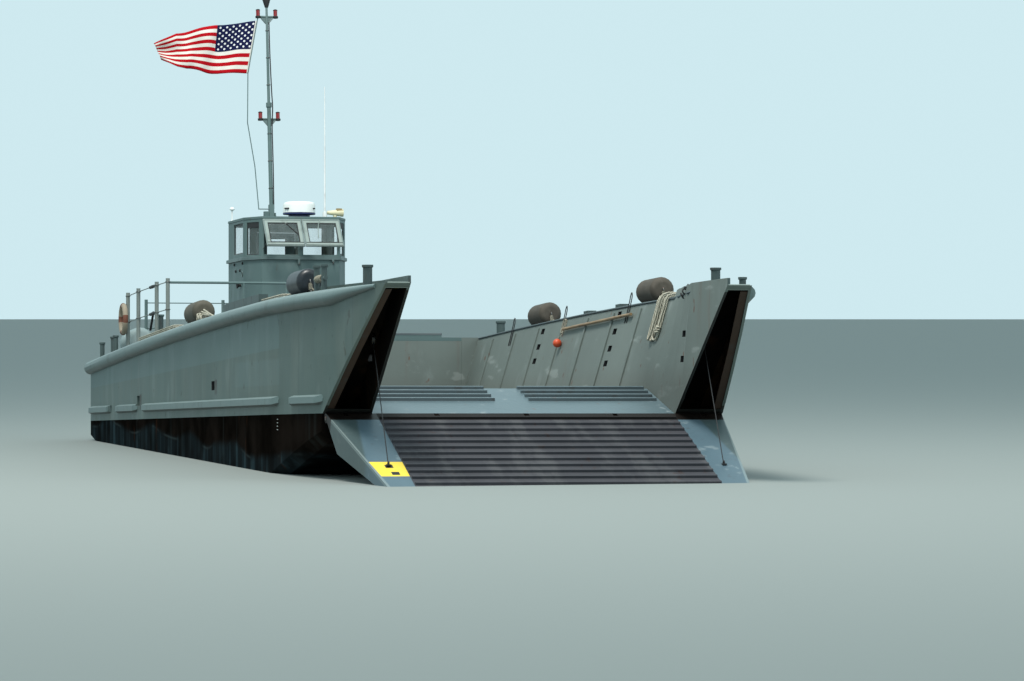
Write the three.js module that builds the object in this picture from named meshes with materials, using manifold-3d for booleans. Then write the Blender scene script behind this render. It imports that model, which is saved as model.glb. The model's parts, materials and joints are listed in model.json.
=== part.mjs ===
// Military landing craft with a bow ramp, afloat at its beaching trim, ramp lowered.
// Millimetres. Stations x run forward from the transom, y to port, z up from the flat bottom.
import * as THREE from "three";
import { mergeVertices } from "three/addons/utils/BufferGeometryUtils.js";
import Module from "manifold-3d";

const wasm = await Module();
wasm.setup();
const rad = THREE.MathUtils.degToRad;

// Driving dimensions of the hull
const LENGTH = 22425; // bow tip of the side plates
const HALF_BEAM = 3110;
const BOOT_TOP = 1530; // top of the dark bottom, and sill of the bow
const SHEER_AFT = 2610;
const SHEER_RISE = 660;
const SHEER_POWER = 1.7;
const TAPER_START = 16500; // from here the sides draw in to the bow
const TAPER_SPAN = 3340;
const TAPER_IN = 190; // inset of each side one span past the start
const TAPER_POWER = 1.8;
const FLAT_AFT = 6000; // the flat of the bottom runs between these two
const FLAT_FORE = 14700;
const TRANSOM_FOOT = 1150;
const BOW_FOOT = 1150;
const BOW_FACE = 19840;
const CHINE = 150;
const SKIN = 40; // thickness of a plated wall
const SEAT = 0.3; // gap between pieces that lie on each other
const CLEAR = 6; // gap beside a piece that moves
const WIDE = 4000; // half-width of a cutter that spans the whole craft

// The cargo well, its sloped sides and its apron
const WELL_AFT = 6800;
const WELL_HALF = 2210;
const WELL_FLOOR = 1900;
const WALL_LEAN = 0.3; // sideways run of the inner wall for each unit up
const KNUCKLE = 18500; // from here the inner wall turns upright
const UPRIGHT = 20750;
const UPRIGHT_LEAN = 0.01;
const COAMING_RISE = 100; // how far the bow coaming stands above the side deck
const APRON_AFT = 18400;
const PLATE = 60; // deck plate with its frames

// Bow ramp, drawn along its own length from the hinge
const HINGE = { x: 19920, z: 1460 };
const RAMP_DOWN = 22; // degrees below level, as it lies
const RAMP_SHUT = 34.4; // degrees above level when it closes the bow
const RAMP = { length: 3100, top: 70, knee: 590, depth: 370, halfTip: 2480, halfHeel: 2905 };
const CLEAT = { pitch: 218, wide: 62, high: 36, half: 2150, slant: 8 };

// Running gear under the stern
const SHAFT = { y: 1250, z: 470, aft: 1180, radius: 55 };
const RUDDER = { x: 560, foot: 110, top: 930, fore: 230, aft: 370, stock: 45 };

// Pilothouse on the centreline
const HOUSE = { aft: 1900, chamfer: 3340, front: 3920, half: 915, halfFront: 690 };
const HOUSE_FLOOR = 2830;
const BELT = 4395;
const SILL = 4425;
const HEAD = 5000;
const HOUSE_TOP = 5050;
const ROOF_TOP = 5095;
const ROOF_LIP = 8;
const DOOR = { y0: -400, y1: 300, foot: 2880, head: 4900 };

// Mast on a shelf behind the roof
const MAST = { x: 1750, y: -100, pivot: 5215, rake: 7, height: 4180, radius: 36, heel: 46, pin: 15 };
const YARDS = [{ up: 1770 }, { up: 3660 }];
const YARD_ARM = 160;

const PAINT = {
  topside: { color: 0x7d8b8c, roughness: 0.55, metalness: 0.1 },
  bottom: { color: 0x1b1d20, roughness: 0.7, metalness: 0.1 },
  deck: { color: 0x59666c, roughness: 0.8, metalness: 0.1 },
  ramp: { color: 0x4c5058, roughness: 0.7, metalness: 0.2 },
  bronze: { color: 0x8a6a3a, roughness: 0.4, metalness: 0.9 },
  steel: { color: 0x4a4d50, roughness: 0.5, metalness: 0.6 },
  engine: { color: 0x5c6b5a, roughness: 0.6, metalness: 0.2 },
  white: { color: 0xe6e8e6, roughness: 0.4, metalness: 0 },
  cream: { color: 0xcfc08a, roughness: 0.5, metalness: 0 },
  black: { color: 0x151516, roughness: 0.6, metalness: 0 },
  fender: { color: 0x5a5346, roughness: 0.8, metalness: 0 },
  rope: { color: 0xcfc7ae, roughness: 0.9, metalness: 0 },
  flag: { color: 0xb9474f, roughness: 0.9, metalness: 0 },
  ring: { color: 0xc79a78, roughness: 0.8, metalness: 0 },
  wood: { color: 0x9a7a55, roughness: 0.8, metalness: 0 },
  orange: { color: 0xd2431c, roughness: 0.5, metalness: 0 },
};

const craft = new THREE.Group();

// Solids: closed geometries are joined and cut as manifolds

function solid(geometry) {
  const bare = new THREE.BufferGeometry();
  bare.setAttribute("position", geometry.getAttribute("position"));
  if (geometry.index) bare.setIndex(geometry.index);
  const merged = mergeVertices(bare, 1e-3);
  const triVerts = new Uint32Array(merged.index.array);
  const vertProperties = merged.attributes.position.array;
  const made = new wasm.Manifold(new wasm.Mesh({ numProp: 3, vertProperties, triVerts }));
  if (made.volume() > 0) return made;
  for (let i = 0; i < triVerts.length; i += 3) {
    [triVerts[i + 1], triVerts[i + 2]] = [triVerts[i + 2], triVerts[i + 1]];
  }
  return new wasm.Manifold(new wasm.Mesh({ numProp: 3, vertProperties, triVerts }));
}

function geometryOf(made) {
  const mesh = made.getMesh();
  const geometry = new THREE.BufferGeometry();
  const places = new THREE.BufferAttribute(new Float32Array(mesh.vertProperties), 3);
  geometry.setAttribute("position", places);
  geometry.setIndex(new THREE.BufferAttribute(new Uint32Array(mesh.triVerts), 1));
  geometry.computeVertexNormals();
  return geometry;
}

const join = (...solids) => solids.flat().reduce((all, one) => all.add(one));
const cut = (from, ...tools) => tools.flat().reduce((left, tool) => left.subtract(tool), from);

function node(name, made, paint, parent = craft) {
  const mesh = new THREE.Mesh(geometryOf(made), new THREE.MeshStandardMaterial(PAINT[paint]));
  mesh.name = name;
  parent.add(mesh);
  return mesh;
}

function block(x0, x1, y0, y1, z0, z1) {
  const box = new THREE.BoxGeometry(Math.abs(x1 - x0), Math.abs(y1 - y0), Math.abs(z1 - z0));
  return solid(box.translate((x0 + x1) / 2, (y0 + y1) / 2, (z0 + z1) / 2));
}

// A round bar between two points, or a cone where the far radius differs
function rod(from, to, radius, sides = 12, farRadius = radius) {
  const a = new THREE.Vector3(...from);
  const b = new THREE.Vector3(...to);
  const bar = new THREE.CylinderGeometry(farRadius, radius, a.distanceTo(b), sides);
  const along = b.clone().sub(a).normalize();
  bar.applyQuaternion(new THREE.Quaternion().setFromUnitVectors(new THREE.Vector3(0, 1, 0), along));
  const middle = a.add(b).multiplyScalar(0.5);
  return solid(bar.translate(middle.x, middle.y, middle.z));
}

// A plate cut to an outline of [x, z] points, between two values of y
function sidePlate(outline, y0, y1) {
  const shape = new THREE.Shape(outline.map(([x, z]) => new THREE.Vector2(x, z)));
  const depth = Math.abs(y1 - y0);
  const plate = new THREE.ExtrudeGeometry(shape, { depth, bevelEnabled: false });
  return solid(plate.rotateX(Math.PI / 2).translate(0, Math.max(y0, y1), 0));
}

// A plate cut to an outline of [x, y] points, between two heights
function deckPlate(outline, z0, z1) {
  const shape = new THREE.Shape(outline.map(([x, y]) => new THREE.Vector2(x, y)));
  const plate = new THREE.ExtrudeGeometry(shape, { depth: z1 - z0, bevelEnabled: false });
  return solid(plate.translate(0, 0, z0));
}

// A body through like rings of [x, y, z] points, closed by its first and last ring
function loft(rings) {
  const count = rings[0].length;
  const index = [];
  rings.slice(1).forEach((ring, r) => {
    for (let i = 0; i < count; i += 1) {
      const a = r * count + i;
      const b = r * count + ((i + 1) % count);
      index.push(a, b, b + count, a, b + count, a + count);
    }
  });
  const last = (rings.length - 1) * count;
  for (let i = 1; i < count - 1; i += 1) {
    index.push(0, i + 1, i);
    index.push(last, last + i, last + i + 1);
  }
  const geometry = new THREE.BufferGeometry();
  geometry.setAttribute("position", new THREE.Float32BufferAttribute(rings.flat(2), 3));
  geometry.setIndex(index);
  return solid(geometry);
}

// A turned body: profile of [radius, height] points about a vertical axis at (x, y)
function turned(profile, x, y, segments = 24) {
  const lathe = new THREE.LatheGeometry(
    profile.map(([r, h]) => new THREE.Vector2(r, h)),
    segments,
  );
  return solid(lathe.rotateX(Math.PI / 2).translate(x, y, 0));
}

// Hull form

function halfBeam(x) {
  if (x <= TAPER_START) return HALF_BEAM;
  return HALF_BEAM - TAPER_IN * ((x - TAPER_START) / TAPER_SPAN) ** TAPER_POWER;
}

const sheer = (x) => SHEER_AFT + SHEER_RISE * (1 - (1 - Math.min(x, LENGTH) / LENGTH) ** SHEER_POWER);

const STATIONS = [
  0, 1700, 3400, 5100, WELL_AFT, 9000, 11500, 14000, TAPER_START, 17200, 17850, KNUCKLE,
  19080, 19650, 20200, UPRIGHT, 21500, LENGTH,
];
const BOW_STATIONS = STATIONS.filter((x) => x >= KNUCKLE);

// A form's value at x, straight between the stations
function faceted(form, x) {
  const next = Math.max(1, STATIONS.findIndex((s) => s >= x));
  const [a, b] = [STATIONS[next - 1], STATIONS[next]];
  return form(a) + ((form(b) - form(a)) * (x - a)) / (b - a);
}

const deckAt = (x) => faceted(sheer, x);
const beamAt = (x) => faceted(halfBeam, x);

function bottomAt(x) {
  if (x < FLAT_AFT) return TRANSOM_FOOT * (1 - x / FLAT_AFT);
  if (x < FLAT_FORE) return 0;
  return (BOW_FOOT * (x - FLAT_FORE)) / (BOW_FACE - FLAT_FORE);
}

function leanAt(x) {
  const t = THREE.MathUtils.clamp((x - KNUCKLE) / (UPRIGHT - KNUCKLE), 0, 1);
  return WALL_LEAN + (UPRIGHT_LEAN - WALL_LEAN) * t;
}

const wallAt = (x, z) => WELL_HALF + leanAt(x) * (z - WELL_FLOOR);

// The plane of the raked bow, set off from the shut ramp
const RAKE_OFF = RAMP.top + 8;
const rakeSlope = Math.tan(rad(RAMP_SHUT));
const rakeRise = HINGE.z + RAKE_OFF * Math.cos(rad(RAMP_SHUT)) - BOOT_TOP;
const rakeFoot = HINGE.x - RAKE_OFF * Math.sin(rad(RAMP_SHUT)) - rakeRise / rakeSlope;
const rakeX = (z) => rakeFoot + (z - BOOT_TOP) / rakeSlope;

function hullBottom() {
  const bow = STATIONS.filter((x) => x >= TAPER_START && x < BOW_FACE);
  const frames = [0, FLAT_AFT, FLAT_FORE, ...bow, BOW_FACE];
  const ring = (x) => {
    const half = beamAt(x);
    const z = bottomAt(x);
    const chine = Math.min(CHINE, (BOOT_TOP - z) / 3);
    const right = [[x, -half, BOOT_TOP], [x, -half, z + chine], [x, chine - half, z]];
    const left = right.map(([px, y, pz]) => [px, -y, pz]).reverse();
    return [...right, ...left];
  };
  const shell = loft(frames.map(ring));
  const gear = [-1, 1].flatMap((side) => [skeg(side), rudderTrunk(side)]);
  const bores = [-1, 1].flatMap((side) => [shaftBore(side), stockBore(side)]);
  return cut(join(shell, gear, rampLugs()), bores, pinBore());
}

function skeg(side) {
  const y = side * SHAFT.y;
  const keel = [[1900, 320], [2700, 0], [FLAT_AFT + 200, 0], [FLAT_AFT + 200, 100], [1900, 850]];
  const fin = sidePlate(keel, y - 60, y + 60);
  const boss = rod([1500, y, SHAFT.z], [2700, y, SHAFT.z], 105, 16);
  return join(fin, boss);
}

const boreFor = (radius, sides) => (radius + SEAT) / Math.cos(Math.PI / sides);

function shaftBore(side) {
  const y = side * SHAFT.y;
  return rod([1400, y, SHAFT.z], [1900, y, SHAFT.z], boreFor(SHAFT.radius, 24), 24);
}

function rudderTrunk(side) {
  const y = side * SHAFT.y;
  return rod([RUDDER.x, y, RUDDER.top + 20], [RUDDER.x, y, 1200], 95, 16);
}

function stockBore(side) {
  const y = side * SHAFT.y;
  return rod([RUDDER.x, y, 900], [RUDDER.x, y, 1250], boreFor(RUDDER.stock, 24), 24);
}

// Hinge lugs on the bow sill; their slots and the bore are cut in the ramp's heel too
const LUG_YS = [-2600, -1300, 0, 1300, 2600];
const LUG_HALF = 30;

function rampLugs() {
  return LUG_YS.map((y) => {
    const eye = rod([HINGE.x, y - LUG_HALF, HINGE.z], [HINGE.x, y + LUG_HALF, HINGE.z], 62, 20);
    const arm = block(BOW_FACE - 60, HINGE.x, y - LUG_HALF, y + LUG_HALF, HINGE.z - 62, HINGE.z + 62);
    return join(eye, arm);
  });
}

const PIN_RADIUS = 32;
const pinBore = () => {
  const y = RAMP.halfHeel;
  return rod([HINGE.x, -y, HINGE.z], [HINGE.x, y, HINGE.z], boreFor(PIN_RADIUS, 24), 24);
};

// One side of the craft: outer plate, side deck and inner wall, with its open bow pocket
function topside(side) {
  const ring = (x) => [
    [x, side * halfBeam(x), BOOT_TOP],
    [x, side * halfBeam(x), sheer(x)],
    [x, side * WELL_HALF, sheer(x)],
    [x, side * WELL_HALF, BOOT_TOP],
  ];
  const plated = loft(STATIONS.map(ring));
  const body = join(plated, bowCoaming(side), lowerRails(side), deckFittings(side));
  return cut(
    join(cut(body, wellWedge(side)), wallRibs(side)),
    bowRake(),
    bowPocket(side),
    wallHoles(side),
    sidePorts(side),
  );
}

function wellWedge(side) {
  const top = 3600;
  const deep = WELL_HALF - 200;
  return loft(
    [WELL_AFT, ...BOW_STATIONS, LENGTH + 500].map((x) => [
      [x, side * WELL_HALF, WELL_FLOOR],
      [x, side * wallAt(x, top), top],
      [x, side * deep, top],
      [x, side * deep, WELL_FLOOR],
    ]),
  );
}

// The inner wall stands above the deck from the knuckle to the bow
function bowCoaming(side) {
  const inside = 60;
  return loft(
    BOW_STATIONS.map((x) => {
      const foot = deckAt(x) - 100;
      const top = deckAt(x) + COAMING_RISE;
      const near = side * (wallAt(x, top) - inside);
      const far = side * (wallAt(x, top) + SKIN);
      return [[x, near, foot], [x, far, foot], [x, far, top], [x, near, top]];
    }),
  );
}

function bowRake() {
  const low = BOOT_TOP - 400;
  const high = 3800;
  const ahead = LENGTH + 2000;
  return sidePlate([[rakeX(low), low], [rakeX(high), high], [ahead, high], [ahead, low]], -WIDE, WIDE);
}

function bowPocket(side) {
  const deep = 900;
  const floor = BOOT_TOP + 60;
  const rings = [...BOW_STATIONS, LENGTH + 600].map((x) => {
    const roof = sheer(x) - PLATE;
    const inner = (z) => side * (Math.max(WELL_HALF, wallAt(x, z)) + SKIN);
    const outer = side * (halfBeam(x) - SKIN);
    return [[x, inner(floor), floor], [x, inner(roof), roof], [x, outer, roof], [x, outer, floor]];
  });
  const [low, high, aft] = [1000, 3800, 17000];
  const behind = [[rakeX(low) - deep, low], [rakeX(high) - deep, high], [aft, high], [aft, low]];
  return cut(loft(rings), sidePlate(behind, -WIDE, WIDE));
}

const WALL_RIB = { first: 7900, last: 17000, pitch: 1490, proud: 22, wide: 80 };

function wallRibs(side) {
  const ribs = [];
  const { first, last, pitch, proud, wide } = WALL_RIB;
  for (let x = first; x < last; x += pitch) {
    const foot = WELL_FLOOR + 40;
    const top = deckAt(x) - 90;
    const ring = (px) => [
      [px, side * (wallAt(px, foot) - proud), foot],
      [px, side * (wallAt(px, top) - proud), top],
      [px, side * (wallAt(px, top) + SKIN), top],
      [px, side * (wallAt(px, foot) + SKIN), foot],
    ];
    ribs.push(loft([ring(x - wide / 2), ring(x + wide / 2)]));
  }
  return ribs;
}

// Lashing holes in upright rows on the inner wall: station, heights
const HOLE = { long: 200, high: 90, deep: 60 };
const HOLE_ROWS = [
  [11180, [2430, 2660, 2910]],
  [15660, [2315, 2540, 2800, 3060]],
  [20150, [2300, 2660]],
];

function wallHoles(side) {
  const { long, high, deep } = HOLE;
  return HOLE_ROWS.flatMap(([x, heights]) =>
    heights.map((z) => {
      const y = wallAt(x, z);
      const [near, far] = [side * (y - deep), side * (y + deep)];
      return block(x - long / 2, x + long / 2, near, far, z - high / 2, z + high / 2);
    }),
  );
}

// Openings in the outer plate: station, foot, head, length
const PORTS = [
  [2330, 1680, 1790, 120],
  [5300, 1760, 1930, 260],
  [12420, 1940, 2080, 260],
];

function sidePorts(side) {
  return PORTS.map(([x, low, high, long]) =>
    block(x - long / 2, x + long / 2, side * (HALF_BEAM - 50), side * (HALF_BEAM + 50), low, high),
  );
}

// The lower rub rail comes in lengths with tapered ends: first and last station
const LOWER_RAIL = { foot: 1640, head: 1800, proud: 75, taper: 150 };
const LOWER_RUNS = [[60, 2380], [3090, 5230], [5890, 17580], [18290, 19900]];

function lowerRails(side) {
  const { foot, head, proud, taper } = LOWER_RAIL;
  return LOWER_RUNS.map(([from, to]) => {
    const inner = STATIONS.filter((x) => x > from + taper && x < to - taper);
    const stations = [from, from + taper, ...inner, to - taper, to];
    return loft(
      stations.map((x, i) => {
        const [out, slant] = i === 0 || i === stations.length - 1 ? [6, 60] : [proud, 35];
        const root = side * (beamAt(x) - 20);
        const face = side * (beamAt(x) + out);
        return [[x, root, foot], [x, face, foot + slant], [x, face, head - slant], [x, root, head]];
      }),
    );
  });
}

// Bar between the two tall bitts of the starboard bow
const BITT_BAR = { aft: 18930, fore: 19450, y: 2800, up: 190, past: 110, radius: 30 };

// Posts on the side decks: side, station, distance from the middle, radius, height
const POSTS = [
  [1, 20940, 2500, 66, 305],
  [1, 22230, 2500, 48, 120],
  [1, 6960, 2860, 72, 270],
  [1, 1590, 2900, 62, 330],
  [-1, 20940, 2500, 66, 305],
  [-1, BITT_BAR.fore, BITT_BAR.y, 42, 380],
  [-1, BITT_BAR.aft, BITT_BAR.y, 42, 390],
  [-1, 5050, 2700, 68, 485],
  [-1, 1750, 2930, 42, 350],
  [-1, 1450, 2930, 42, 350],
  [-1, 400, 2960, 42, 320],
];
const POST_FLANGE = { wider: 14, thick: 40 };

function post([side, x, y, radius, height]) {
  const foot = deckAt(x) - 30;
  const top = deckAt(x) + height;
  const { wider, thick } = POST_FLANGE;
  const shank = [[0, foot], [radius, foot], [radius, top - thick]];
  const cap = [[radius + wider, top - thick + 10], [radius + wider, top], [0, top]];
  return turned([...shank, ...cap], x, side * y, 16);
}

// Low blocks beside the deck edge: side, first and last station, height
const CHOCKS = [
  [1, 12570, 12830, 90],
  [1, 14470, 14730, 90],
  [1, 17970, 18230, 90],
  [1, 18640, 18900, 125],
  [-1, 12500, 15400, 165],
];

function chock([side, from, to, height]) {
  const stations = [from, ...STATIONS.filter((x) => x > from && x < to), to];
  return loft(
    stations.map((x) => {
      const [near, far] = [side * (beamAt(x) - 290), side * (beamAt(x) - 150)];
      const [foot, top] = [deckAt(x) - 30, deckAt(x) + height];
      return [[x, near, foot], [x, far, foot], [x, far, top], [x, near, top]];
    }),
  );
}

function bittBar() {
  const { aft, fore, y, up, past, radius } = BITT_BAR;
  return rod([aft - past, -y, deckAt(aft) + up], [fore + past, -y, deckAt(fore) + up], radius, 12);
}

function deckFittings(side) {
  const own = ([where]) => where === side;
  const fittings = [...POSTS.filter(own).map(post), ...CHOCKS.filter(own).map(chock)];
  return side < 0 ? [...fittings, bittBar()] : fittings;
}

// The big half-round rub rail under the deck edge, round the stern to both bows.
// Each end: side, station where it starts to narrow, last station, size there
const UPPER_RAIL = { radius: 118, steps: 6 };
const RAIL_ENDS = [
  [-1, 20250, 22050, 0.25],
  [1, 21700, 22150, 0.8],
];

function upperRail() {
  const { radius, steps } = UPPER_RAIL;
  const arc = [...Array(steps + 1).keys()].map((i) => (i / steps - 0.5) * Math.PI);
  const run = ([side, narrow, end, tip]) => {
    const between = STATIONS.filter((x) => x > narrow && x < end);
    const stations = [...STATIONS.filter((x) => x < narrow), narrow, ...between, end];
    return loft(
      stations.map((x) => {
        const size = radius * (1 - (1 - tip) * Math.max(0, (x - narrow) / (end - narrow)));
        const [y, z] = [beamAt(x) + SEAT, deckAt(x) - size];
        return arc.map((t) => [x, side * (y + size * Math.cos(t)), z + size * Math.sin(t)]);
      }),
    );
  };
  const z = SHEER_AFT - radius;
  const corner = HALF_BEAM + SEAT;
  const back = (t) => [-SEAT - radius * Math.cos(t), z + radius * Math.sin(t)];
  const stern = loft([-corner, corner].map((y) => arc.map(back).map(([x, up]) => [x, y, up])));
  const balls = [-1, 1].map((side) => {
    const ball = new THREE.SphereGeometry(radius, 16, 12).rotateX(Math.PI / 2);
    return solid(ball.translate(-SEAT, side * corner, z));
  });
  const hollow = block(-SEAT, 3000, -corner, corner, 2000, 3000);
  return cut(join(RAIL_ENDS.map(run), stern, balls), hollow);
}

function transomPlate() {
  return block(0, PLATE, -WELL_HALF, WELL_HALF, BOOT_TOP, SHEER_AFT - PLATE);
}

// Engine hatches, their lids and the grip on each lid
const HATCH = { aft: 5000, fore: 6000, inner: 1150, outer: 2000, rise: 90, coaming: 40 };
const LID = { past: 45, thick: 30 };
const LID_GRIP = { inset: 350, off: 60, high: 80, radius: 9 };

function afterDeck() {
  const ring = (x) => [
    [x, -WELL_HALF, sheer(x) - PLATE],
    [x, WELL_HALF, sheer(x) - PLATE],
    [x, WELL_HALF, sheer(x)],
    [x, -WELL_HALF, sheer(x)],
  ];
  const plate = loft(STATIONS.filter((x) => x <= WELL_AFT).map(ring));
  const plinth = deckPlate(houseOutline(-10), 2640, HOUSE_FLOOR);
  const { aft, rise, coaming } = HATCH;
  const coamings = [-1, 1].map((side) => hatchRing(side, coaming, deckAt(aft) - 20, rise));
  const holes = [-1, 1].map((side) => hatchRing(side, 0, deckAt(aft) - 300, rise + 300));
  return cut(join(plate, plinth, coamings), holes);
}

function hatchRing(side, wider, foot, rise) {
  const { aft, fore, inner, outer } = HATCH;
  const top = deckAt(fore) + rise;
  return block(aft - wider, fore + wider, side * (inner - wider), side * (outer + wider), foot, top);
}

// Lid hinged on its outboard edge, lying on the coaming
function hatchLid(side) {
  const { aft, fore, inner, outer } = HATCH;
  const { past, thick } = LID;
  const seat = deckAt(fore) + HATCH.rise + SEAT;
  const [near, far] = [side * (inner - past), side * (outer + past)];
  const lid = block(aft - past, fore + past, near, far, seat, seat + thick);
  const { inset, off, high, radius } = LID_GRIP;
  const y = side * (inner + off);
  const [a, b] = [aft + inset, fore - inset];
  const legs = [a, b].map((x) => rod([x, y, seat + thick - 5], [x, y, seat + high], radius, 8));
  const bar = rod([a - 5, y, seat + high - 5], [b + 5, y, seat + high - 5], radius, 8);
  return join(lid, legs, bar);
}

function wellBulkhead() {
  const outline = [
    [WELL_AFT - PLATE, BOOT_TOP],
    [WELL_AFT, BOOT_TOP],
    [WELL_AFT, deckAt(WELL_AFT) - PLATE - SEAT],
    [WELL_AFT - PLATE, deckAt(WELL_AFT - PLATE) - PLATE - SEAT],
  ];
  return sidePlate(outline, -WELL_HALF, WELL_HALF);
}

const wellFloor = () => block(WELL_AFT, APRON_AFT, -WELL_HALF, WELL_HALF, BOOT_TOP, WELL_FLOOR);

// Cleats of the apron, in two runs beside the middle
const APRON_CLEAT = { first: 0, pitch: 225, count: 4, inner: 250, fore: 28 };

function apron() {
  const slope = (WELL_FLOOR - BOOT_TOP) / (BOW_FACE - APRON_AFT);
  const top = (x) => WELL_FLOOR - slope * (x - APRON_AFT);
  const outline = [[APRON_AFT, BOOT_TOP], [BOW_FACE, BOOT_TOP], [APRON_AFT, WELL_FLOOR]];
  const wedge = sidePlate(outline, -WELL_HALF, WELL_HALF);
  const { first, pitch, count, inner, fore } = APRON_CLEAT;
  const bars = [...Array(count).keys()].flatMap((i) => {
    const [a, b] = [APRON_AFT + first + i * pitch, APRON_AFT + first + i * pitch + CLEAT.wide];
    const bar = [[a, top(a) - 20], [b, top(b) - 20], [b, top(a) + fore], [a, top(a) + CLEAT.high]];
    return [sidePlate(bar, -CLEAT.half, -inner), sidePlate(bar, inner, CLEAT.half)];
  });
  return join(wedge, bars);
}

// Ramp, in its own frame: x from the hinge to the tip, z square to its top face

function ramp() {
  const { length, top, knee, depth, halfTip, halfHeel } = RAMP;
  const profile = [[0, top], [length, top], [length, 0], [knee, top - depth], [60, -30], [0, -30]];
  const slab = sidePlate(profile, -halfHeel, halfHeel);
  const heel = rod([0, -halfHeel, 0], [0, halfHeel, 0], top, 24);
  const trim = [-1, 1].map((side) => {
    const [aft, fore, out] = [-200, length + 200, side * WIDE];
    const tip = side * (halfTip - 8);
    return deckPlate([[aft, side * halfHeel], [fore, tip], [fore, out], [aft, out]], -600, 600);
  });
  const slot = LUG_HALF + CLEAR;
  const slots = LUG_YS.map((y) => block(-200, 80, y - slot, y + slot, -200, 200));
  const bore = rod([0, -3000, 0], [0, 3000, 0], boreFor(PIN_RADIUS, 24), 24);
  const cleats = [];
  const { pitch, wide, high, half, slant } = CLEAT;
  for (let x = 160; x < length - 150; x += pitch) {
    const [aft, fore] = [x + slant, x + wide - slant];
    const bar = [[x, top - 20], [x + wide, top - 20], [fore, top + high], [aft, top + high]];
    cleats.push(sidePlate(bar, -half, half));
  }
  return join(cut(join(slab, heel), trim, slots, bore), cleats);
}

function placeRamp() {
  const hinged = new THREE.Group();
  hinged.position.set(HINGE.x, 0, HINGE.z);
  hinged.rotation.y = rad(RAMP_DOWN);
  craft.add(hinged);
  node("bow_ramp", ramp(), "ramp", hinged);
}

function rampPin() {
  const y = RAMP.halfHeel - 20;
  return rod([HINGE.x, -y, HINGE.z], [HINGE.x, y, HINGE.z], PIN_RADIUS, 24);
}

// Running gear

function propeller(side) {
  const y = side * SHAFT.y;
  const { aft, z, radius } = SHAFT;
  const shaft = rod([aft, y, z], [1850, y, z], radius, 24);
  const hub = rod([aft - 130, y, z], [1490, y, z], 80, 16, 84);
  const blades = [0, 1, 2, 3].map((i) => {
    const blade = new THREE.CylinderGeometry(170, 170, 26, 16);
    blade.rotateZ(Math.PI / 2).scale(1, 0.78, 1);
    blade.rotateZ(rad(side * 28)).translate(0, 0, 215);
    blade.rotateX((i * Math.PI) / 2 + rad(45));
    return solid(blade.translate(aft + 110, y, z));
  });
  return join(shaft, hub, blades);
}

function rudder(side) {
  const y = side * SHAFT.y;
  const { x, foot, top, fore, aft, stock } = RUDDER;
  const half = [[x + fore - 80, 34], [x - 60, 38], [x - aft, 8]];
  const left = half.map(([px, out]) => [px, y + out]);
  const right = half.map(([px, out]) => [px, y - out]).reverse();
  const blade = deckPlate([[x + fore, y], ...left, ...right], foot, top);
  return join(blade, rod([x, y, top - 100], [x, y, 1180], stock, 24));
}

const engineBlock = (side) => block(3700, 5900, side * 780, side * 1760, BOOT_TOP, BOOT_TOP + 980);

// Pilothouse

function houseOutline(inset) {
  const { aft, chamfer, front, half, halfFront } = HOUSE;
  const starboard = [
    [aft + inset, inset - half],
    [chamfer - inset * 0.24, inset - half],
    [front - inset, inset * 0.6 - halfFront],
  ];
  const port = starboard.map(([x, y]) => [x, -y]).reverse();
  return [...starboard, ...port];
}

function houseWall(z0, z1) {
  const outer = deckPlate(houseOutline(0), z0, z1);
  return cut(outer, deckPlate(houseOutline(SKIN), z0 - 10, z1 + 10));
}

function doorway() {
  return block(HOUSE.aft - 100, HOUSE.aft + 100, DOOR.y0, DOOR.y1, DOOR.foot, DOOR.head);
}

// The ledge runs round the house under its windows
const LEDGE = { proud: 35, high: 60 };

function pilothouseLower() {
  const { proud, high } = LEDGE;
  const band = deckPlate(houseOutline(-proud), BELT - high, BELT);
  const ledge = cut(band, deckPlate(houseOutline(5), BELT - 2 * high, BELT + 10));
  return cut(join(houseWall(HOUSE_FLOOR, BELT), ledge), doorway());
}

// Window openings in the upper band
const WINDOWS = {
  front: [45, 655], // span to each side of the middle
  side: [2430, 3290], // stations
  aft: [[-800, -520], [420, 800]],
  chamfer: 400, // length along the wall
};

function pilothouseUpper() {
  const { aft, chamfer, front, half, halfFront } = HOUSE;
  const [inner, outer] = WINDOWS.front;
  const holes = WINDOWS.aft.map(([y0, y1]) => block(aft - 100, aft + 100, y0, y1, SILL, HEAD));
  for (const side of [-1, 1]) {
    holes.push(block(front - 100, front + 100, side * inner, side * outer, SILL, HEAD));
    holes.push(block(...WINDOWS.side, side * (half - 100), side * (half + 100), SILL + 40, HEAD));
    const angle = Math.atan2(half - halfFront, front - chamfer);
    const pane = new THREE.BoxGeometry(WINDOWS.chamfer, 200, HEAD - SILL).rotateZ(-side * angle);
    const middle = [(chamfer + front) / 2, (side * (half + halfFront)) / 2, (SILL + HEAD) / 2];
    holes.push(solid(pane.translate(...middle)));
  }
  return cut(houseWall(BELT, HOUSE_TOP), holes, doorway());
}

// The roof ends just outside the walls; a shelf behind it carries the mast
const SHELF = { aft: 1590, half: 160 };

function pilothouseRoof() {
  const plate = deckPlate(houseOutline(-ROOF_LIP), HOUSE_TOP, ROOF_TOP);
  const { aft, half } = SHELF;
  return join(plate, block(aft, HOUSE.aft + 50, MAST.y - half, MAST.y + half, HOUSE_TOP, ROOF_TOP));
}

// A front window frame, hung at its top edge and swung out on a stay
const FRONT_WINDOW = { middle: 345, wide: 680, tall: 630, rim: 75, thick: 34, open: 41, top: 5030 };

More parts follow.
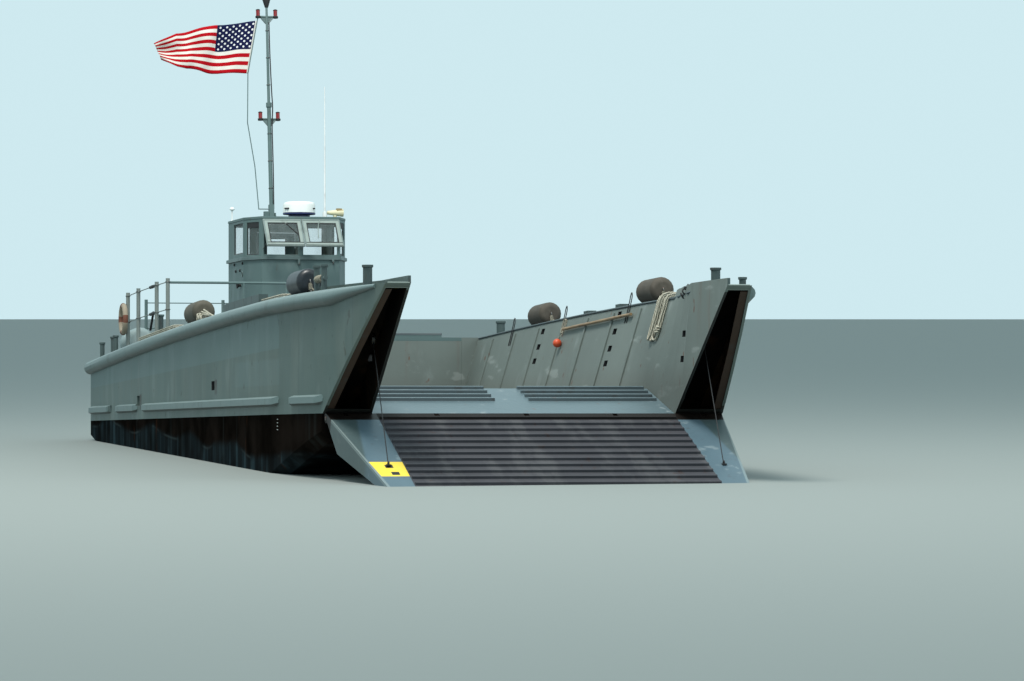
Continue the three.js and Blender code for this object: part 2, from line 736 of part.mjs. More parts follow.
function placeFrontWindow(side) {
  const { middle, wide, tall, rim, thick, open, top } = FRONT_WINDOW;
  const half = wide / 2;
  const light = block(-thick, thick, rim - half, half - rim, 1.2 * rim - tall, -rim);
  const frame = cut(block(-thick / 2, thick / 2, -half, half, -tall, 0), light);
  const hinge = rod([0, -half, 0], [0, half, 0], thick / 2, 12);
  const hung = new THREE.Group();
  hung.position.set(HOUSE.front + thick / 2 + SEAT, side * middle, top);
  hung.rotation.y = -rad(open);
  craft.add(hung);
  node(side < 0 ? "window_starboard" : "window_port", join(frame, hinge), "topside", hung);
}

// The cabin door's hinges, with their lower ends, its window and its lever
const DOOR_HINGE = { x: HOUSE.aft - 12.4, y: DOOR.y1 - 3, radius: 12, feet: [3250, 4500], high: 120 };
const DOOR_LIGHT = { y0: -230, y1: 130, foot: 4450, head: 4800 };
const DOOR_LEVER = { y: -330, z: 3900, out: 60, long: 120, radius: 12 };

function cabinDoor() {
  const x = HOUSE.aft;
  const [y0, y1] = [DOOR.y0 + CLEAR, DOOR.y1 - CLEAR - 3];
  const panel = block(x, x + SKIN, y0, y1, DOOR.foot + CLEAR, DOOR.head - CLEAR);
  const hinges = DOOR_HINGE.feet.flatMap((z) => {
    const { x: px, y, radius, high } = DOOR_HINGE;
    const leaf = block(x - radius, x + 4, DOOR.y1 - 100, DOOR.y1 - 8, z + 5, z + high - 5);
    return [rod([px, y, z], [px, y, z + high], radius, 16), leaf];
  });
  const { y, z, out, long, radius } = DOOR_LEVER;
  const spindle = rod([x - out, y, z], [x + 10, y, z], radius, 10);
  const lever = block(x - out - 2, x - out + 16, y - radius, y + long, z - radius, z + radius);
  const light = block(x - 50, x + 100, DOOR_LIGHT.y0, DOOR_LIGHT.y1, DOOR_LIGHT.foot, DOOR_LIGHT.head);
  return cut(join(panel, hinges, spindle, lever), light);
}

const CONSOLE = { aft: 3300, fore: 3780, half: 560 };
const HELM_WHEEL = { z: 3640, radius: 230, rim: 17, spoke: 11, hub: 34, stem: 119 };
const HELM_SEAT = { x: 2750, pan: 3400, half: 230, base: 210, post: 45 };

function helmConsole() {
  const foot = HOUSE_FLOOR + SEAT;
  const { aft, fore, half } = CONSOLE;
  const outline = [[aft, foot], [fore, foot], [fore, 4020], [fore - 140, 4060], [aft, 3820]];
  return sidePlate(outline, -half, half);
}

function helmWheel() {
  const { z, radius, rim, spoke, hub, stem } = HELM_WHEEL;
  const ring = solid(new THREE.TorusGeometry(radius, rim, 10, 28).rotateY(Math.PI / 2));
  const spokes = [0, 1, 2].map((i) => {
    const a = (i * Math.PI) / 3;
    const [y, up] = [radius * Math.cos(a), radius * Math.sin(a)];
    return rod([0, -y, -up], [0, y, up], spoke, 8);
  });
  const boss = rod([-20, 0, 0], [stem, 0, 0], hub, 12);
  return join(ring, spokes, boss).translate([CONSOLE.aft - stem - SEAT, 0, z]);
}

function helmSeat() {
  const foot = HOUSE_FLOOR + SEAT;
  const { x, pan, half, base, post } = HELM_SEAT;
  const plate = rod([x, 0, foot], [x, 0, foot + 20], base, 20);
  const stem = rod([x, 0, foot + 10], [x, 0, pan + 20], post, 12);
  const cushion = block(x - 220, x + half, -half, half, pan, pan + 100);
  const back = [[x - 220, pan + 80], [x - 140, pan + 80], [x - 190, pan + 660], [x - 260, pan + 660]];
  return join(plate, stem, cushion, sidePlate(back, 10 - half, half - 10));
}

// Mast and its step

function mastStep() {
  const foot = ROOF_TOP + SEAT;
  const { x, y, pivot, heel, pin } = MAST;
  const [box, fork] = [MAST_STEP.box, MAST_STEP.fork];
  const near = heel + CLEAR;
  const base = block(x - 140, x + 120, y - near - box, y + near + fork, foot, foot + 20);
  const starboard = block(x - 60, x + 60, y - near - box, y - near, foot + 10, pivot + 75);
  const port = block(x - 60, x + 60, y + near, y + near + fork, foot + 10, pivot + 50);
  const bolt = rod([x, y - near - 20, pivot], [x, y + near + fork + 12, pivot], pin, 16);
  return join(base, starboard, port, bolt);
}

function placeMast() {
  const folded = new THREE.Group();
  folded.position.set(MAST.x, MAST.y, MAST.pivot);
  folded.rotation.y = -rad(MAST.rake);
  craft.add(folded);
  node("mast", mast(), "topside", folded);
  node("flag", flag(), "flag", folded);
}

// In the mast's own frame: z from the pivot up along the pole
const MAST_STEP = { box: 85, fork: 20 }; // thickness of its starboard box and its port cheek
const HALYARD = { radius: 9, arm: 240, foot: 120, bulge: 250, drop: 3300 };
const FLAG = { hoist: 980, thick: 160, top: 3585 };
const FLY = [[-1948, 2841], [-2086, 3104], [-1669, 3349]]; // y and z of the free corners

function halyardY(z) {
  const share = THREE.MathUtils.clamp((YARDS[1].up - z) / HALYARD.drop, 0, 1);
  return -YARD_ARM - HALYARD.bulge * Math.sin(Math.PI * share);
}

function mast() {
  const { height, radius, heel, pin } = MAST;
  const square = block(-heel, heel, -heel, heel, -58, 200);
  const lower = rod([0, 0, 150], [0, 0, 2050], radius, 16);
  const collar = rod([0, 0, 1990], [0, 0, 2070], radius + 16, 16);
  const upper = rod([0, 0, 2040], [0, 0, height], radius * 0.75, 12, radius * 0.55);
  const truck = rod([0, 0, height - 20], [0, 0, height + 110], 45, 12);
  const bore = rod([0, -100, 0], [0, 100, 0], boreFor(pin, 16), 16);
  return cut(join(square, lower, collar, upper, truck, YARDS.flatMap(yard), halyard()), bore);
}

// A crossbar with a lamp on each end
function yard({ up }) {
  const bar = rod([0, -YARD_ARM - 40, up], [0, YARD_ARM + 40, up], 18, 8);
  const lamps = [-1, 1].map((side) =>
    rod([0, side * YARD_ARM, up - 10], [0, side * YARD_ARM, up + 120], 36, 12),
  );
  return [bar, ...lamps];
}

// The flag's line bows out from the upper crossbar to a short arm on the heel
function halyard() {
  const { radius, arm, foot } = HALYARD;
  const knots = [900, 1700, FLAG.top - FLAG.hoist, FLAG.top];
  const bow = knots.map((z) => [halyardY(z), z]);
  const line = [[-arm + 10, foot], ...bow, [-YARD_ARM, YARDS[1].up]];
  const runs = line.slice(1).map(([y, z], i) => rod([0, ...line[i]], [0, y, z], radius, 12));
  return [rod([0, 0, foot], [0, -arm, foot], radius, 8), ...runs];
}

function flag() {
  const { hoist, thick, top } = FLAG;
  const held = (z) => [halyardY(z) - HALYARD.radius - SEAT, z];
  const ring = (x) => [held(top), held(top - hoist), ...FLY].map(([y, z]) => [x, y, z]);
  return loft([ring(-thick / 2), ring(thick / 2)]);
}

// Roof gear: each turned or laid on the roof at its own place
const RADOME = { x: 3400, y: 75, pedestal: 190, lip: 58, radius: 287, side: 222, top: 292 };
const WHIP = { x: 3000, y: 620, high: 2360 };
const POSITION_ANTENNA = { x: 1960, y: -860 };
const HORN = { x: 3600, foot: 680, axis: 88, throat: 535, mouth: 825 };
const roofFoot = ROOF_TOP + SEAT;

function radome() {
  const { x, y, pedestal, lip, radius, side, top } = RADOME;
  const rise = [
    [0, 0], [pedestal, 0], [pedestal, lip - 8], [radius, lip], [radius, side], [radius - 22, top - 22],
    [radius - 80, top - 6], [0, top],
  ];
  return turned(rise.map(([r, up]) => [r, roofFoot + up]), x, y, 32);
}

function whipAntenna() {
  const { x, y, high } = WHIP;
  const base = rod([x, y, roofFoot], [x, y, roofFoot + 130], 40, 12);
  return join(base, rod([x, y, roofFoot + 100], [x, y, roofFoot + high], 20, 8, 9));
}

function positionAntenna() {
  const { x, y } = POSITION_ANTENNA;
  const rise = [[0, 0], [35, 0], [14, 20], [14, 190], [42, 202], [46, 225], [28, 255], [0, 258]];
  return turned(rise.map(([r, up]) => [r, roofFoot + up]), x, y, 16);
}

function signalHorn() {
  const { x, foot, axis, throat, mouth } = HORN;
  const z = roofFoot + axis;
  const base = rod([x, foot, roofFoot], [x, foot, z], 34, 12);
  const trumpet = rod([x, throat, z], [x, mouth, z], 30, 20, 70);
  const driver = block(x - 45, x + 45, 705, 795, z, z + 78);
  return join(base, trumpet, driver);
}

// Guard rail on the starboard side deck: station and height of each post
const STANCHIONS = { y: -2800, radius: 35, posts: [[2302, 1070], [3433, 1058], [5348, 1025], [6466, 1000]] };
const RAIL_WIRE = { radius: 9, drops: [60, 525] };

function guardRail() {
  const { y, radius, posts } = STANCHIONS;
  const head = ([x, high]) => deckAt(x) + high;
  const uprights = posts.map((row) => {
    const x = row[0];
    return rod([x, y, deckAt(x + radius) + SEAT], [x, y, head(row)], radius, 12);
  });
  const wires = RAIL_WIRE.drops.flatMap((drop) =>
    posts.slice(1).map((row, i) =>
      rod([posts[i][0], y, head(posts[i]) - drop], [row[0], y, head(row) - drop], RAIL_WIRE.radius, 6),
    ),
  );
  return join(uprights, wires);
}

const CROSS_RAIL = { x: 6466, up: 930, radius: 21, posts: [-1500, -770] };

function crossRail() {
  const { x, up, radius, posts } = CROSS_RAIL;
  const z = deckAt(x) + up;
  const start = STANCHIONS.y + STANCHIONS.radius + SEAT * 4;
  const pipe = rod([x, start, z], [x, posts[1], z], radius, 12);
  return join(pipe, posts.map((y) => rod([x, y, deckAt(x + radius) + SEAT], [x, y, z], radius, 12)));
}

// Rail across the stern: distances of its posts from the middle
const STERN_RAIL = { x: 300, ys: [-2140, -720, 720, 2140], top: 3735, radius: 30 };

function sternRail() {
  const { x, ys, top, radius } = STERN_RAIL;
  const posts = ys.map((y) => rod([x, y, deckAt(x + radius) + SEAT], [x, y, top], radius, 12));
  const wires = RAIL_WIRE.drops.map((drop) =>
    rod([x, ys[0], top - drop], [x, ys[3], top - drop], RAIL_WIRE.radius, 6),
  );
  return join(posts, wires);
}

// Fenders lie fore and aft on the side decks: side, station, distance from the middle, radius
const FENDER = { long: 900, round: 90 };
const FENDERS = [
  ["fender_starboard_mid", -1, 9900, 2875, 190],
  ["fender_starboard_bow", -1, 18000, 2800, 190],
  ["fender_starboard_quarter", -1, 1480, 2510, 245],
  ["fender_port_mid", 1, 9870, 2875, 190],
  ["fender_port_bow", 1, 16500, 2875, 190],
];

function fender([, side, x, y, radius]) {
  const { long, round } = FENDER;
  const half = long / 2;
  const arc = [...Array(5).keys()].map((i) => {
    const t = (i / 4) * (Math.PI / 2);
    return [radius - round + round * Math.sin(t), -half + round - round * Math.cos(t)];
  });
  const profile = [[0, -half], ...arc, ...arc.map(([r, h]) => [r, -h]).reverse(), [0, half]];
  const lathe = new THREE.LatheGeometry(profile.map(([r, h]) => new THREE.Vector2(r, h)), 20);
  const slope = Math.atan2(deckAt(x + half) - deckAt(x - half), long);
  lathe.rotateZ(Math.PI / 2).rotateY(-slope);
  const lift = radius / Math.cos(slope) + SEAT;
  return solid(lathe.translate(x, side * y, deckAt(x) + lift));
}

const LIFE_RING = { radius: 240, tube: 48, up: 600 };

function lifeRing() {
  const { radius, tube, up } = LIFE_RING;
  const ring = new THREE.TorusGeometry(radius, tube, 12, 28).rotateX(Math.PI / 2);
  const x = STANCHIONS.posts[0][0];
  const y = STANCHIONS.y - STANCHIONS.radius - tube - SEAT * 3;
  return solid(ring.translate(x, y, deckAt(x) + up));
}

// Ropes flaked down along the starboard side deck: first and last station, inner and outer edge
const FLAKES = {
  deck_rope: { from: 5000, to: 8700, inner: 2880, outer: 3080, high: 100 },
  bow_line: { from: 15500, to: 17250, inner: 2790, outer: 2970, high: 90 },
};

function flake({ from, to, inner, outer, high }) {
  const stations = [from, ...STATIONS.filter((x) => x > from && x < to), to];
  return loft(
    stations.map((x) => {
      const foot = deckAt(x) + SEAT;
      const top = foot + high;
      return [[x, -outer, foot], [x, -outer, top], [x, -inner, top], [x, -inner, foot]];
    }),
  );
}

// Rope doubled over the edge of the port side deck, hanging down the inner wall
const HANK = { from: 17800, to: 18280, foot: 2540, thick: 90, over: 150, crown: 210 };

function ropeHank() {
  const { from, to, foot, thick, over, crown } = HANK;
  const ring = (x) => {
    const face = (z) => wallAt(x, z) - SEAT;
    const deck = deckAt(x);
    const edge = face(deck);
    const section = [
      [edge - 60, deck + over], [face(foot) - thick, foot], [face(foot), foot], [edge, deck],
      [edge, deck + SEAT], [edge + over, deck + SEAT], [edge + over, deck + over], [edge + 60, deck + crown],
    ];
    return section.map(([y, z]) => [x, y, z]);
  };
  return loft([from, ...STATIONS.filter((x) => x > from && x < to), to].map(ring));
}

// Gear on the port inner wall: a pole laid across its ribs, and a float below a bunched line
const POLE = { from: [12630, 2910], to: [16500, 3040], radius: 24 }; // station and height of the ends
const FLOAT = { x: 12620, z: 2690, radius: 70 };
const BUNCH = { from: 12430, to: 12600, foot: 2830, under: 15, thick: 60 };

// Level distance from the leaning wall to an axis that lies a reach square to it
const offWall = (reach) => (reach + SEAT) * Math.hypot(1, WALL_LEAN);

function wallPole() {
  const { from, to, radius } = POLE;
  const off = WALL_RIB.proud + offWall(radius);
  return rod(...[from, to].map(([x, z]) => [x, wallAt(x, z) - off, z]), radius, 16);
}

function wallFloat() {
  const { x, z, radius } = FLOAT;
  const ball = new THREE.SphereGeometry(radius, 20, 14);
  return solid(ball.translate(x, wallAt(x, z) - offWall(radius), z));
}

function bunchedLine() {
  const { from, to, foot, under, thick } = BUNCH;
  const ring = (x) => {
    const top = deckAt(x) - under;
    const [low, high] = [wallAt(x, foot), wallAt(x, top)];
    return [[x, low - thick, foot], [x, low - SEAT, foot], [x, high - SEAT, top], [x, high - thick, top]];
  };
  return loft([ring(from), ring(to)]);
}

function build() {
  node("hull_bottom", hullBottom(), "bottom");
  node("topside_starboard", topside(-1), "topside");
  node("topside_port", topside(1), "topside");
  node("upper_rub_rail", upperRail(), "topside");
  node("transom_plate", transomPlate(), "topside");
  node("after_deck", afterDeck(), "deck");
  node("well_bulkhead", wellBulkhead(), "topside");
  node("well_floor", wellFloor(), "deck");
  node("well_apron", apron(), "ramp");
  node("ramp_pin", rampPin(), "steel");
  placeRamp();
  for (const [side, word] of [[-1, "starboard"], [1, "port"]]) {
    node("propeller_" + word, propeller(side), "bronze");
    node("rudder_" + word, rudder(side), "bottom");
    node("engine_" + word, engineBlock(side), "engine");
    node("hatch_lid_" + word, hatchLid(side), "deck");
    placeFrontWindow(side);
  }
  node("pilothouse_lower", pilothouseLower(), "topside");
  node("pilothouse_upper", pilothouseUpper(), "topside");
  node("pilothouse_roof", pilothouseRoof(), "topside");
  node("cabin_door", cabinDoor(), "topside");
  node("helm_console", helmConsole(), "topside");
  node("helm_wheel", helmWheel(), "steel");
  node("helm_seat", helmSeat(), "black");
  node("mast_step", mastStep(), "topside");
  placeMast();
  node("radome", radome(), "white");
  node("whip_antenna", whipAntenna(), "white");
  node("position_antenna", positionAntenna(), "white");
  node("signal_horn", signalHorn(), "cream");
  node("guard_rail", guardRail(), "topside");
  node("cross_rail", crossRail(), "topside");
  node("stern_rail", sternRail(), "topside");
  FENDERS.forEach((row) => node(row[0], fender(row), "fender"));
  node("life_ring", lifeRing(), "ring");
  Object.entries(FLAKES).forEach(([name, lie]) => node(name, flake(lie), "rope"));
  node("rope_hank", ropeHank(), "rope");
  node("bunched_line", bunchedLine(), "rope");
  node("wall_pole", wallPole(), "wood");
  node("wall_float", wallFloat(), "orange");
}

build();

// The frame stands under the middle of the whole craft, ramp included
const reach = new THREE.Box3().setFromObject(craft, true);
craft.children.forEach((child) => {
  child.position.x -= Math.round((reach.min.x + reach.max.x) / 2);
});

export default craft;
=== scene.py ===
import json
import math

import bpy
from mathutils import Matrix, Vector

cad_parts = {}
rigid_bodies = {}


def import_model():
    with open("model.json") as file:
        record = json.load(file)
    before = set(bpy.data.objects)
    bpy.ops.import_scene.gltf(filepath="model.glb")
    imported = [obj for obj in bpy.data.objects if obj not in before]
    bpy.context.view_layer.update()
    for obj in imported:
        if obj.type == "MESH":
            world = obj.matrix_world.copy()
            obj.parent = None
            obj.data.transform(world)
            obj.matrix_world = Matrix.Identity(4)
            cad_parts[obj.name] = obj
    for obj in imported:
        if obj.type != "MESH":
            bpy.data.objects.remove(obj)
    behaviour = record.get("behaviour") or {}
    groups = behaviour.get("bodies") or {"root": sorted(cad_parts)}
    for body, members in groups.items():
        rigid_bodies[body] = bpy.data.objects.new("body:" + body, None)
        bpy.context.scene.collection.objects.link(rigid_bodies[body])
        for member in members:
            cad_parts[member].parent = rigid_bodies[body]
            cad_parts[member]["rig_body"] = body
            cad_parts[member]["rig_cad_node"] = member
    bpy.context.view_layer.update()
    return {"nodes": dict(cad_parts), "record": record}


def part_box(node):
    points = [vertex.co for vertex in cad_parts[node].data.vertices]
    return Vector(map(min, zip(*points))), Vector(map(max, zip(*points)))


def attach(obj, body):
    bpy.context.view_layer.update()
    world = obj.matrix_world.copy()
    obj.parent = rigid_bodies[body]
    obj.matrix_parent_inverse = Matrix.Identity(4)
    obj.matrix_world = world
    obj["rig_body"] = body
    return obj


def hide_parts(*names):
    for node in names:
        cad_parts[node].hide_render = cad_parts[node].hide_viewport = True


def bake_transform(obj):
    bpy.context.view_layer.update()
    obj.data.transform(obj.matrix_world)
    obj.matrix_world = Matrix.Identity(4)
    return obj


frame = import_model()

# Stations run forward from the transom, y to port, z up from the flat bottom, in metres
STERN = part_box("hull_bottom")[0].x
LENGTH = 22.425
HALF_BEAM = 3.11
SHEER_AFT = 2.61
SHEER_RISE = 0.66
BOOT_TOP = 1.53
WELL_AFT = 6.8
WELL_FLOOR = 1.9
WELL_HALF = 2.21
KNUCKLE = 18.5
UPRIGHT = 20.75
TAPER_START = 16.5
STATIONS = (
    0, 1.7, 3.4, 5.1, WELL_AFT, 9, 11.5, 14, TAPER_START, 17.2, 17.85, KNUCKLE,
    19.08, 19.65, 20.2, UPRIGHT, 21.5, LENGTH,
)
RAKE_FOOT = 19.884
RAKE_SLOPE = math.tan(math.radians(34.4))
HINGE = (19.92, 1.46)
RAMP_DOWN = math.radians(22)
RAMP_TOP = 0.07
HOUSE = {"aft": 1.9, "chamfer": 3.34, "front": 3.92, "half": 0.915, "half_front": 0.69}
BELT = 4.395
SILL = 4.425
HEAD = 5.0
ROOF_TOP = 5.095
# Ports in the side: station, half length, foot and head
PORTS = ((2.33, 0.08, 1.66, 1.81), (5.3, 0.15, 1.74, 1.95), (12.42, 0.15, 1.92, 2.10))
MAST = {"x": 1.75, "y": -0.1, "pivot": 5.215, "rake": math.radians(7)}
YARDS = (1.77, 3.66)
YARD_ARM = 0.16
# Lashing holes in the well's wall: station and heights
HOLE_ROWS = ((11.18, 2.43, 2.66, 2.91), (15.66, 2.315, 2.54, 2.80, 3.06), (20.15, 2.30, 2.66))
# Posts of the guard rail: station and height above the deck
GUARD_POSTS = ((2.302, 1.07), (3.433, 1.058), (5.348, 1.025), (6.466, 1.0))
GUARD_Y = -2.8
WIRE_DROPS = (0.06, 0.525)
# Front windows: where their hinge lies, how far each one's middle is from the craft's, and their swing
WINDOW_HINGE = (3.9373, 5.03)
WINDOW_MIDDLE = 0.345
WINDOW_SWING = math.radians(41)
RADOME = (3.4, 0.075)
SIDES = ((1, "port"), (-1, "starboard"))

# The plane of the water: its unit normal and its distance from the origin
WATER_NORMAL = Vector((0.0294, -0.00576, 0.99955))
WATER_OFF = 0.8652


def at(x, y, z):
    """A place on the craft: station, distance to port and height, as a point in the frame."""
    return Vector((STERN + x, y, z))


# Form of the hull, straight between its stations


def faceted(form, x):
    after = next(i for i, s in enumerate(STATIONS) if s >= min(max(x, 0.001), LENGTH))
    a, b = STATIONS[after - 1], STATIONS[after]
    return form(a) + (form(b) - form(a)) * (x - a) / (b - a)


def deck_at(x):
    return faceted(lambda s: SHEER_AFT + SHEER_RISE * (1 - (1 - s / LENGTH) ** 1.7), x)


def beam_at(x):
    return faceted(lambda s: HALF_BEAM - 0.19 * (max(0, s - TAPER_START) / 3.34) ** 1.8, x)


def wall_at(x, z):
    """How far the well's leaning wall is from the middle."""
    upright = min(1, max(0, (x - KNUCKLE) / (UPRIGHT - KNUCKLE)))
    return WELL_HALF + (0.3 - 0.29 * upright) * (z - WELL_FLOOR)


# Cosine and sine of that wall's lean
LEAN_COS = 0.958
LEAN_SIN = 0.287


def rake_x(z):
    return RAKE_FOOT + (z - BOOT_TOP) / RAKE_SLOPE


def on_ramp(s, y, up=0.0):
    """A place on the ramp's top face: distance from the hinge, to port, and off the face."""
    out = RAMP_TOP + up
    cos, sin = math.cos(RAMP_DOWN), math.sin(RAMP_DOWN)
    return (HINGE[0] + s * cos + out * sin, y, HINGE[1] - s * sin + out * cos)


def on_mast(x, y, z):
    """A place in the mast's own frame, z from its pivot up the pole."""
    cos, sin = math.cos(MAST["rake"]), math.sin(MAST["rake"])
    return (MAST["x"] + x * cos - z * sin, MAST["y"] + y, MAST["pivot"] + x * sin + z * cos)


MAST_UP = Vector(on_mast(0, 0, 1)) - Vector(on_mast(0, 0, 0))


def mast_height(place):
    """How far up the pole a place on the craft lies."""
    cos, sin = math.cos(MAST["rake"]), math.sin(MAST["rake"])
    return (place.z - MAST["pivot"]) * cos - (place.x - MAST["x"]) * sin


# Handling of pieces


def clear():
    bpy.ops.object.select_all(action="DESELECT")


def take(piece):
    """Make one piece the only selected and the active one."""
    clear()
    piece.select_set(True)
    bpy.context.view_layer.objects.active = piece
    return piece


def named(name):
    """The primitive just added, under its own name."""
    piece = bpy.context.active_object
    piece.name = name
    piece.data.name = name
    return piece


def settle(piece):
    """Put a piece's place, turn and size into its mesh."""
    take(piece)
    bpy.ops.object.transform_apply(location=True, rotation=True, scale=True)
    return piece


def aimed(piece, along, place):
    """Turn a piece made about the upright to a line, and put it in its place."""
    piece.rotation_mode = "QUATERNION"
    piece.rotation_quaternion = Vector((0, 0, 1)).rotation_difference(Vector(along))
    piece.location = place
    return settle(piece)


def modify(piece, kind, **settings):
    take(piece)
    made = piece.modifiers.new(kind.title(), kind)
    for name, value in settings.items():
        setattr(made, name, value)
    bpy.ops.object.modifier_apply(modifier=made.name)
    return piece


def edit(piece):
    take(piece)
    bpy.ops.object.mode_set(mode="EDIT")
    bpy.ops.mesh.select_mode(type="FACE")


def leave():
    bpy.ops.object.mode_set(mode="OBJECT")


def round_edges(piece, width, angle=30):
    return modify(piece, "BEVEL", width=width, segments=2, limit_method="ANGLE",
                  angle_limit=math.radians(angle), use_clamp_overlap=True)


def smooth(piece, angle=35):
    take(piece)
    bpy.ops.object.shade_smooth_by_angle(angle=math.radians(angle))
    return piece


# Shapes that several pieces start from; places are given on the craft


def block(name, low, high, edge=0.0):
    low, high = Vector(low), Vector(high)
    bpy.ops.mesh.primitive_cube_add(size=1, location=at(*((low + high) / 2)))
    piece = named(name)
    piece.scale = high - low
    settle(piece)
    return round_edges(piece, edge) if edge else piece


def rod(name, start, end, radius, sides=12):
    """A round bar between two places."""
    a, b = at(*start), at(*end)
    bpy.ops.mesh.primitive_cylinder_add(vertices=sides, radius=radius, depth=(b - a).length)
    return smooth(aimed(named(name), b - a, (a + b) / 2))


def grown(name, place, along, rings, sides=20):
    """A round body grown ring by ring along a line, each ring a radius and a distance."""
    radius, height = rings[0]
    bpy.ops.mesh.primitive_circle_add(
        vertices=sides, radius=radius, fill_type="NGON", location=(0, 0, height)
    )
    piece = settle(named(name))
    edit(piece)
    bpy.ops.mesh.select_all(action="SELECT")
    for wide, far in rings[1:]:
        bpy.ops.mesh.extrude_region_move(TRANSFORM_OT_translate={"value": (0, 0, far - height)})
        share = wide / radius
        bpy.ops.transform.resize(value=(share, share, 1), center_override=(0, 0, far))
        radius, height = wide, far
    bpy.ops.mesh.select_all(action="SELECT")
    bpy.ops.mesh.normals_make_consistent(inside=False)
    leave()
    return smooth(aimed(piece, along, at(*place)))


def hoop(name, place, along, radius, thick, turns=28):
    """A ring of round bar about a line."""
    bpy.ops.mesh.primitive_torus_add(
        major_radius=radius, minor_radius=thick, major_segments=turns, minor_segments=8
    )
    return smooth(aimed(named(name), along, at(*place)), 60)


def curved(places, steps=6):
    """The same places with more between them, on one smooth line."""
    points = [Vector(p) for p in places]
    points = [2 * points[0] - points[1], *points, 2 * points[-1] - points[-2]]
    line = []
    for a, b, c, d in zip(points, points[1:], points[2:], points[3:]):
        for i in range(steps):
            t = i / steps
            bend = (2 * a - 5 * b + 4 * c - d) * t * t + (3 * b - 3 * c + d - a) * t ** 3
            line.append(b + (c - a) * (t / 2) + bend / 2)
    return [*line, points[-2]]


def drawn(name, places, radius, fine=1):
    """A round line through places, its UV map the distance along and the turn about it."""
    points = [at(*p) for p in places]
    bpy.ops.curve.primitive_nurbs_path_add()
    piece = named(name)
    line = piece.data
    line.splines.clear()
    spline = line.splines.new("POLY")
    spline.points.add(len(points) - 1)
    for knot, point in zip(spline.points, points):
        knot.co = (*point, 1)
    line.dimensions = "3D"
    line.bevel_depth = radius
    line.bevel_resolution = fine
    line.use_fill_caps = True
    take(piece)
    bpy.ops.object.convert(target="MESH")
    piece.data.name = name
    along_map(piece, points, 4 + 2 * fine)
    edit(piece)
    bpy.ops.mesh.select_all(action="SELECT")
    bpy.ops.mesh.remove_doubles(threshold=radius * 0.02)
    bpy.ops.mesh.normals_make_consistent(inside=False)
    leave()
    return smooth(piece, 60)


def along_map(piece, points, count):
    """Unwrap a drawn line: its rings of vertices follow its points, and its caps come last."""
    mesh = piece.data
    far = [0.0]
    for a, b in zip(points, points[1:]):
        far.append(far[-1] + (b - a).length)
    for old in list(mesh.uv_layers):
        mesh.uv_layers.remove(old)
    uv = mesh.uv_layers.new(name="UVMap")
    last = len(points) - 1
    for face in mesh.polygons:
        rings = [min(v // count, last) for v in face.vertices]
        turns = [v % count for v in face.vertices]
        seam = max(turns) - min(turns) > 1
        for loop, ring, turn in zip(face.loop_indices, rings, turns):
            uv.data[loop].uv = (far[ring], 1.0 if seam and turn == 0 else turn / count)


def sheet_of(name, corners):
    """A flat face through four corners."""
    bpy.ops.mesh.primitive_plane_add()
    piece = named(name)
    for vertex, corner in zip((0, 1, 3, 2), corners):
        piece.data.vertices[vertex].co = at(*corner)
    piece.data.update()
    return piece


def plate(name, corners, thick):
    """A flat plate through four corners, its thickness half to each side."""
    return modify(sheet_of(name, corners), "SOLIDIFY", thickness=thick, offset=0)


def surround(name, corners, width, thick, edge=0.003):
    """A rim inside four corners, its thickness half to each side."""
    piece = sheet_of(name, corners)
    edit(piece)
    bpy.ops.mesh.select_all(action="SELECT")
    bpy.ops.mesh.inset(thickness=width)
    bpy.ops.mesh.delete(type="FACE")
    leave()
    modify(piece, "SOLIDIFY", thickness=thick, offset=0)
    return round_edges(piece, edge)


def joined(name, pieces):
    """Several meshes as one piece."""
    clear()
    for piece in pieces:
        piece.select_set(True)
    bpy.context.view_layer.objects.active = pieces[0]
    if len(pieces) > 1:
        bpy.ops.object.join()
    return named(name)


def fitted(piece, finish, body="hull", replaces=()):
    """Give a piece its finish in its material slot, and its body."""
    piece.data.materials.clear()
    piece.data.materials.append(FINISH[finish])
    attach(piece, body)
    if replaces:
        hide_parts(*replaces)
    return piece


# Materials: maths on values, and one method for every other node


class Value:
    """An output in a material that takes + - * / and a few named steps."""

    def __init__(self, paint, socket):
        self.paint = paint
        self.socket = socket

    def __add__(self, other):
        return self.paint.maths("ADD", self, other)

    __radd__ = __add__

    def __sub__(self, other):
        return self.paint.maths("SUBTRACT", self, other)

    def __rsub__(self, other):
        return self.paint.maths("SUBTRACT", other, self)

    def __mul__(self, other):
        return self.paint.maths("MULTIPLY", self, other)

    __rmul__ = __mul__

    def __truediv__(self, other):
        return self.paint.maths("DIVIDE", self, other)

    def size(self):
        return self.paint.maths("ABSOLUTE", self)

    def part(self):
        return self.paint.maths("FRACT", self)

    def whole(self):
        return self.paint.maths("FLOOR", self)

    def sine(self):
        return self.paint.maths("SINE", self)

    def above(self, level):
        return self.paint.maths("GREATER_THAN", self, level)

    def below(self, level):
        return self.paint.maths("LESS_THAN", self, level)

    def most(self, other):
        return self.paint.maths("MAXIMUM", self, other)

    def ease(self, low, high):
        """From 0 at low to 1 at high, smooth between them and flat beyond."""
        return self.paint.node(
            "MapRange",
            {"interpolation_type": "SMOOTHSTEP"},
            {"Value": self, "From Min": low, "From Max": high},
        )


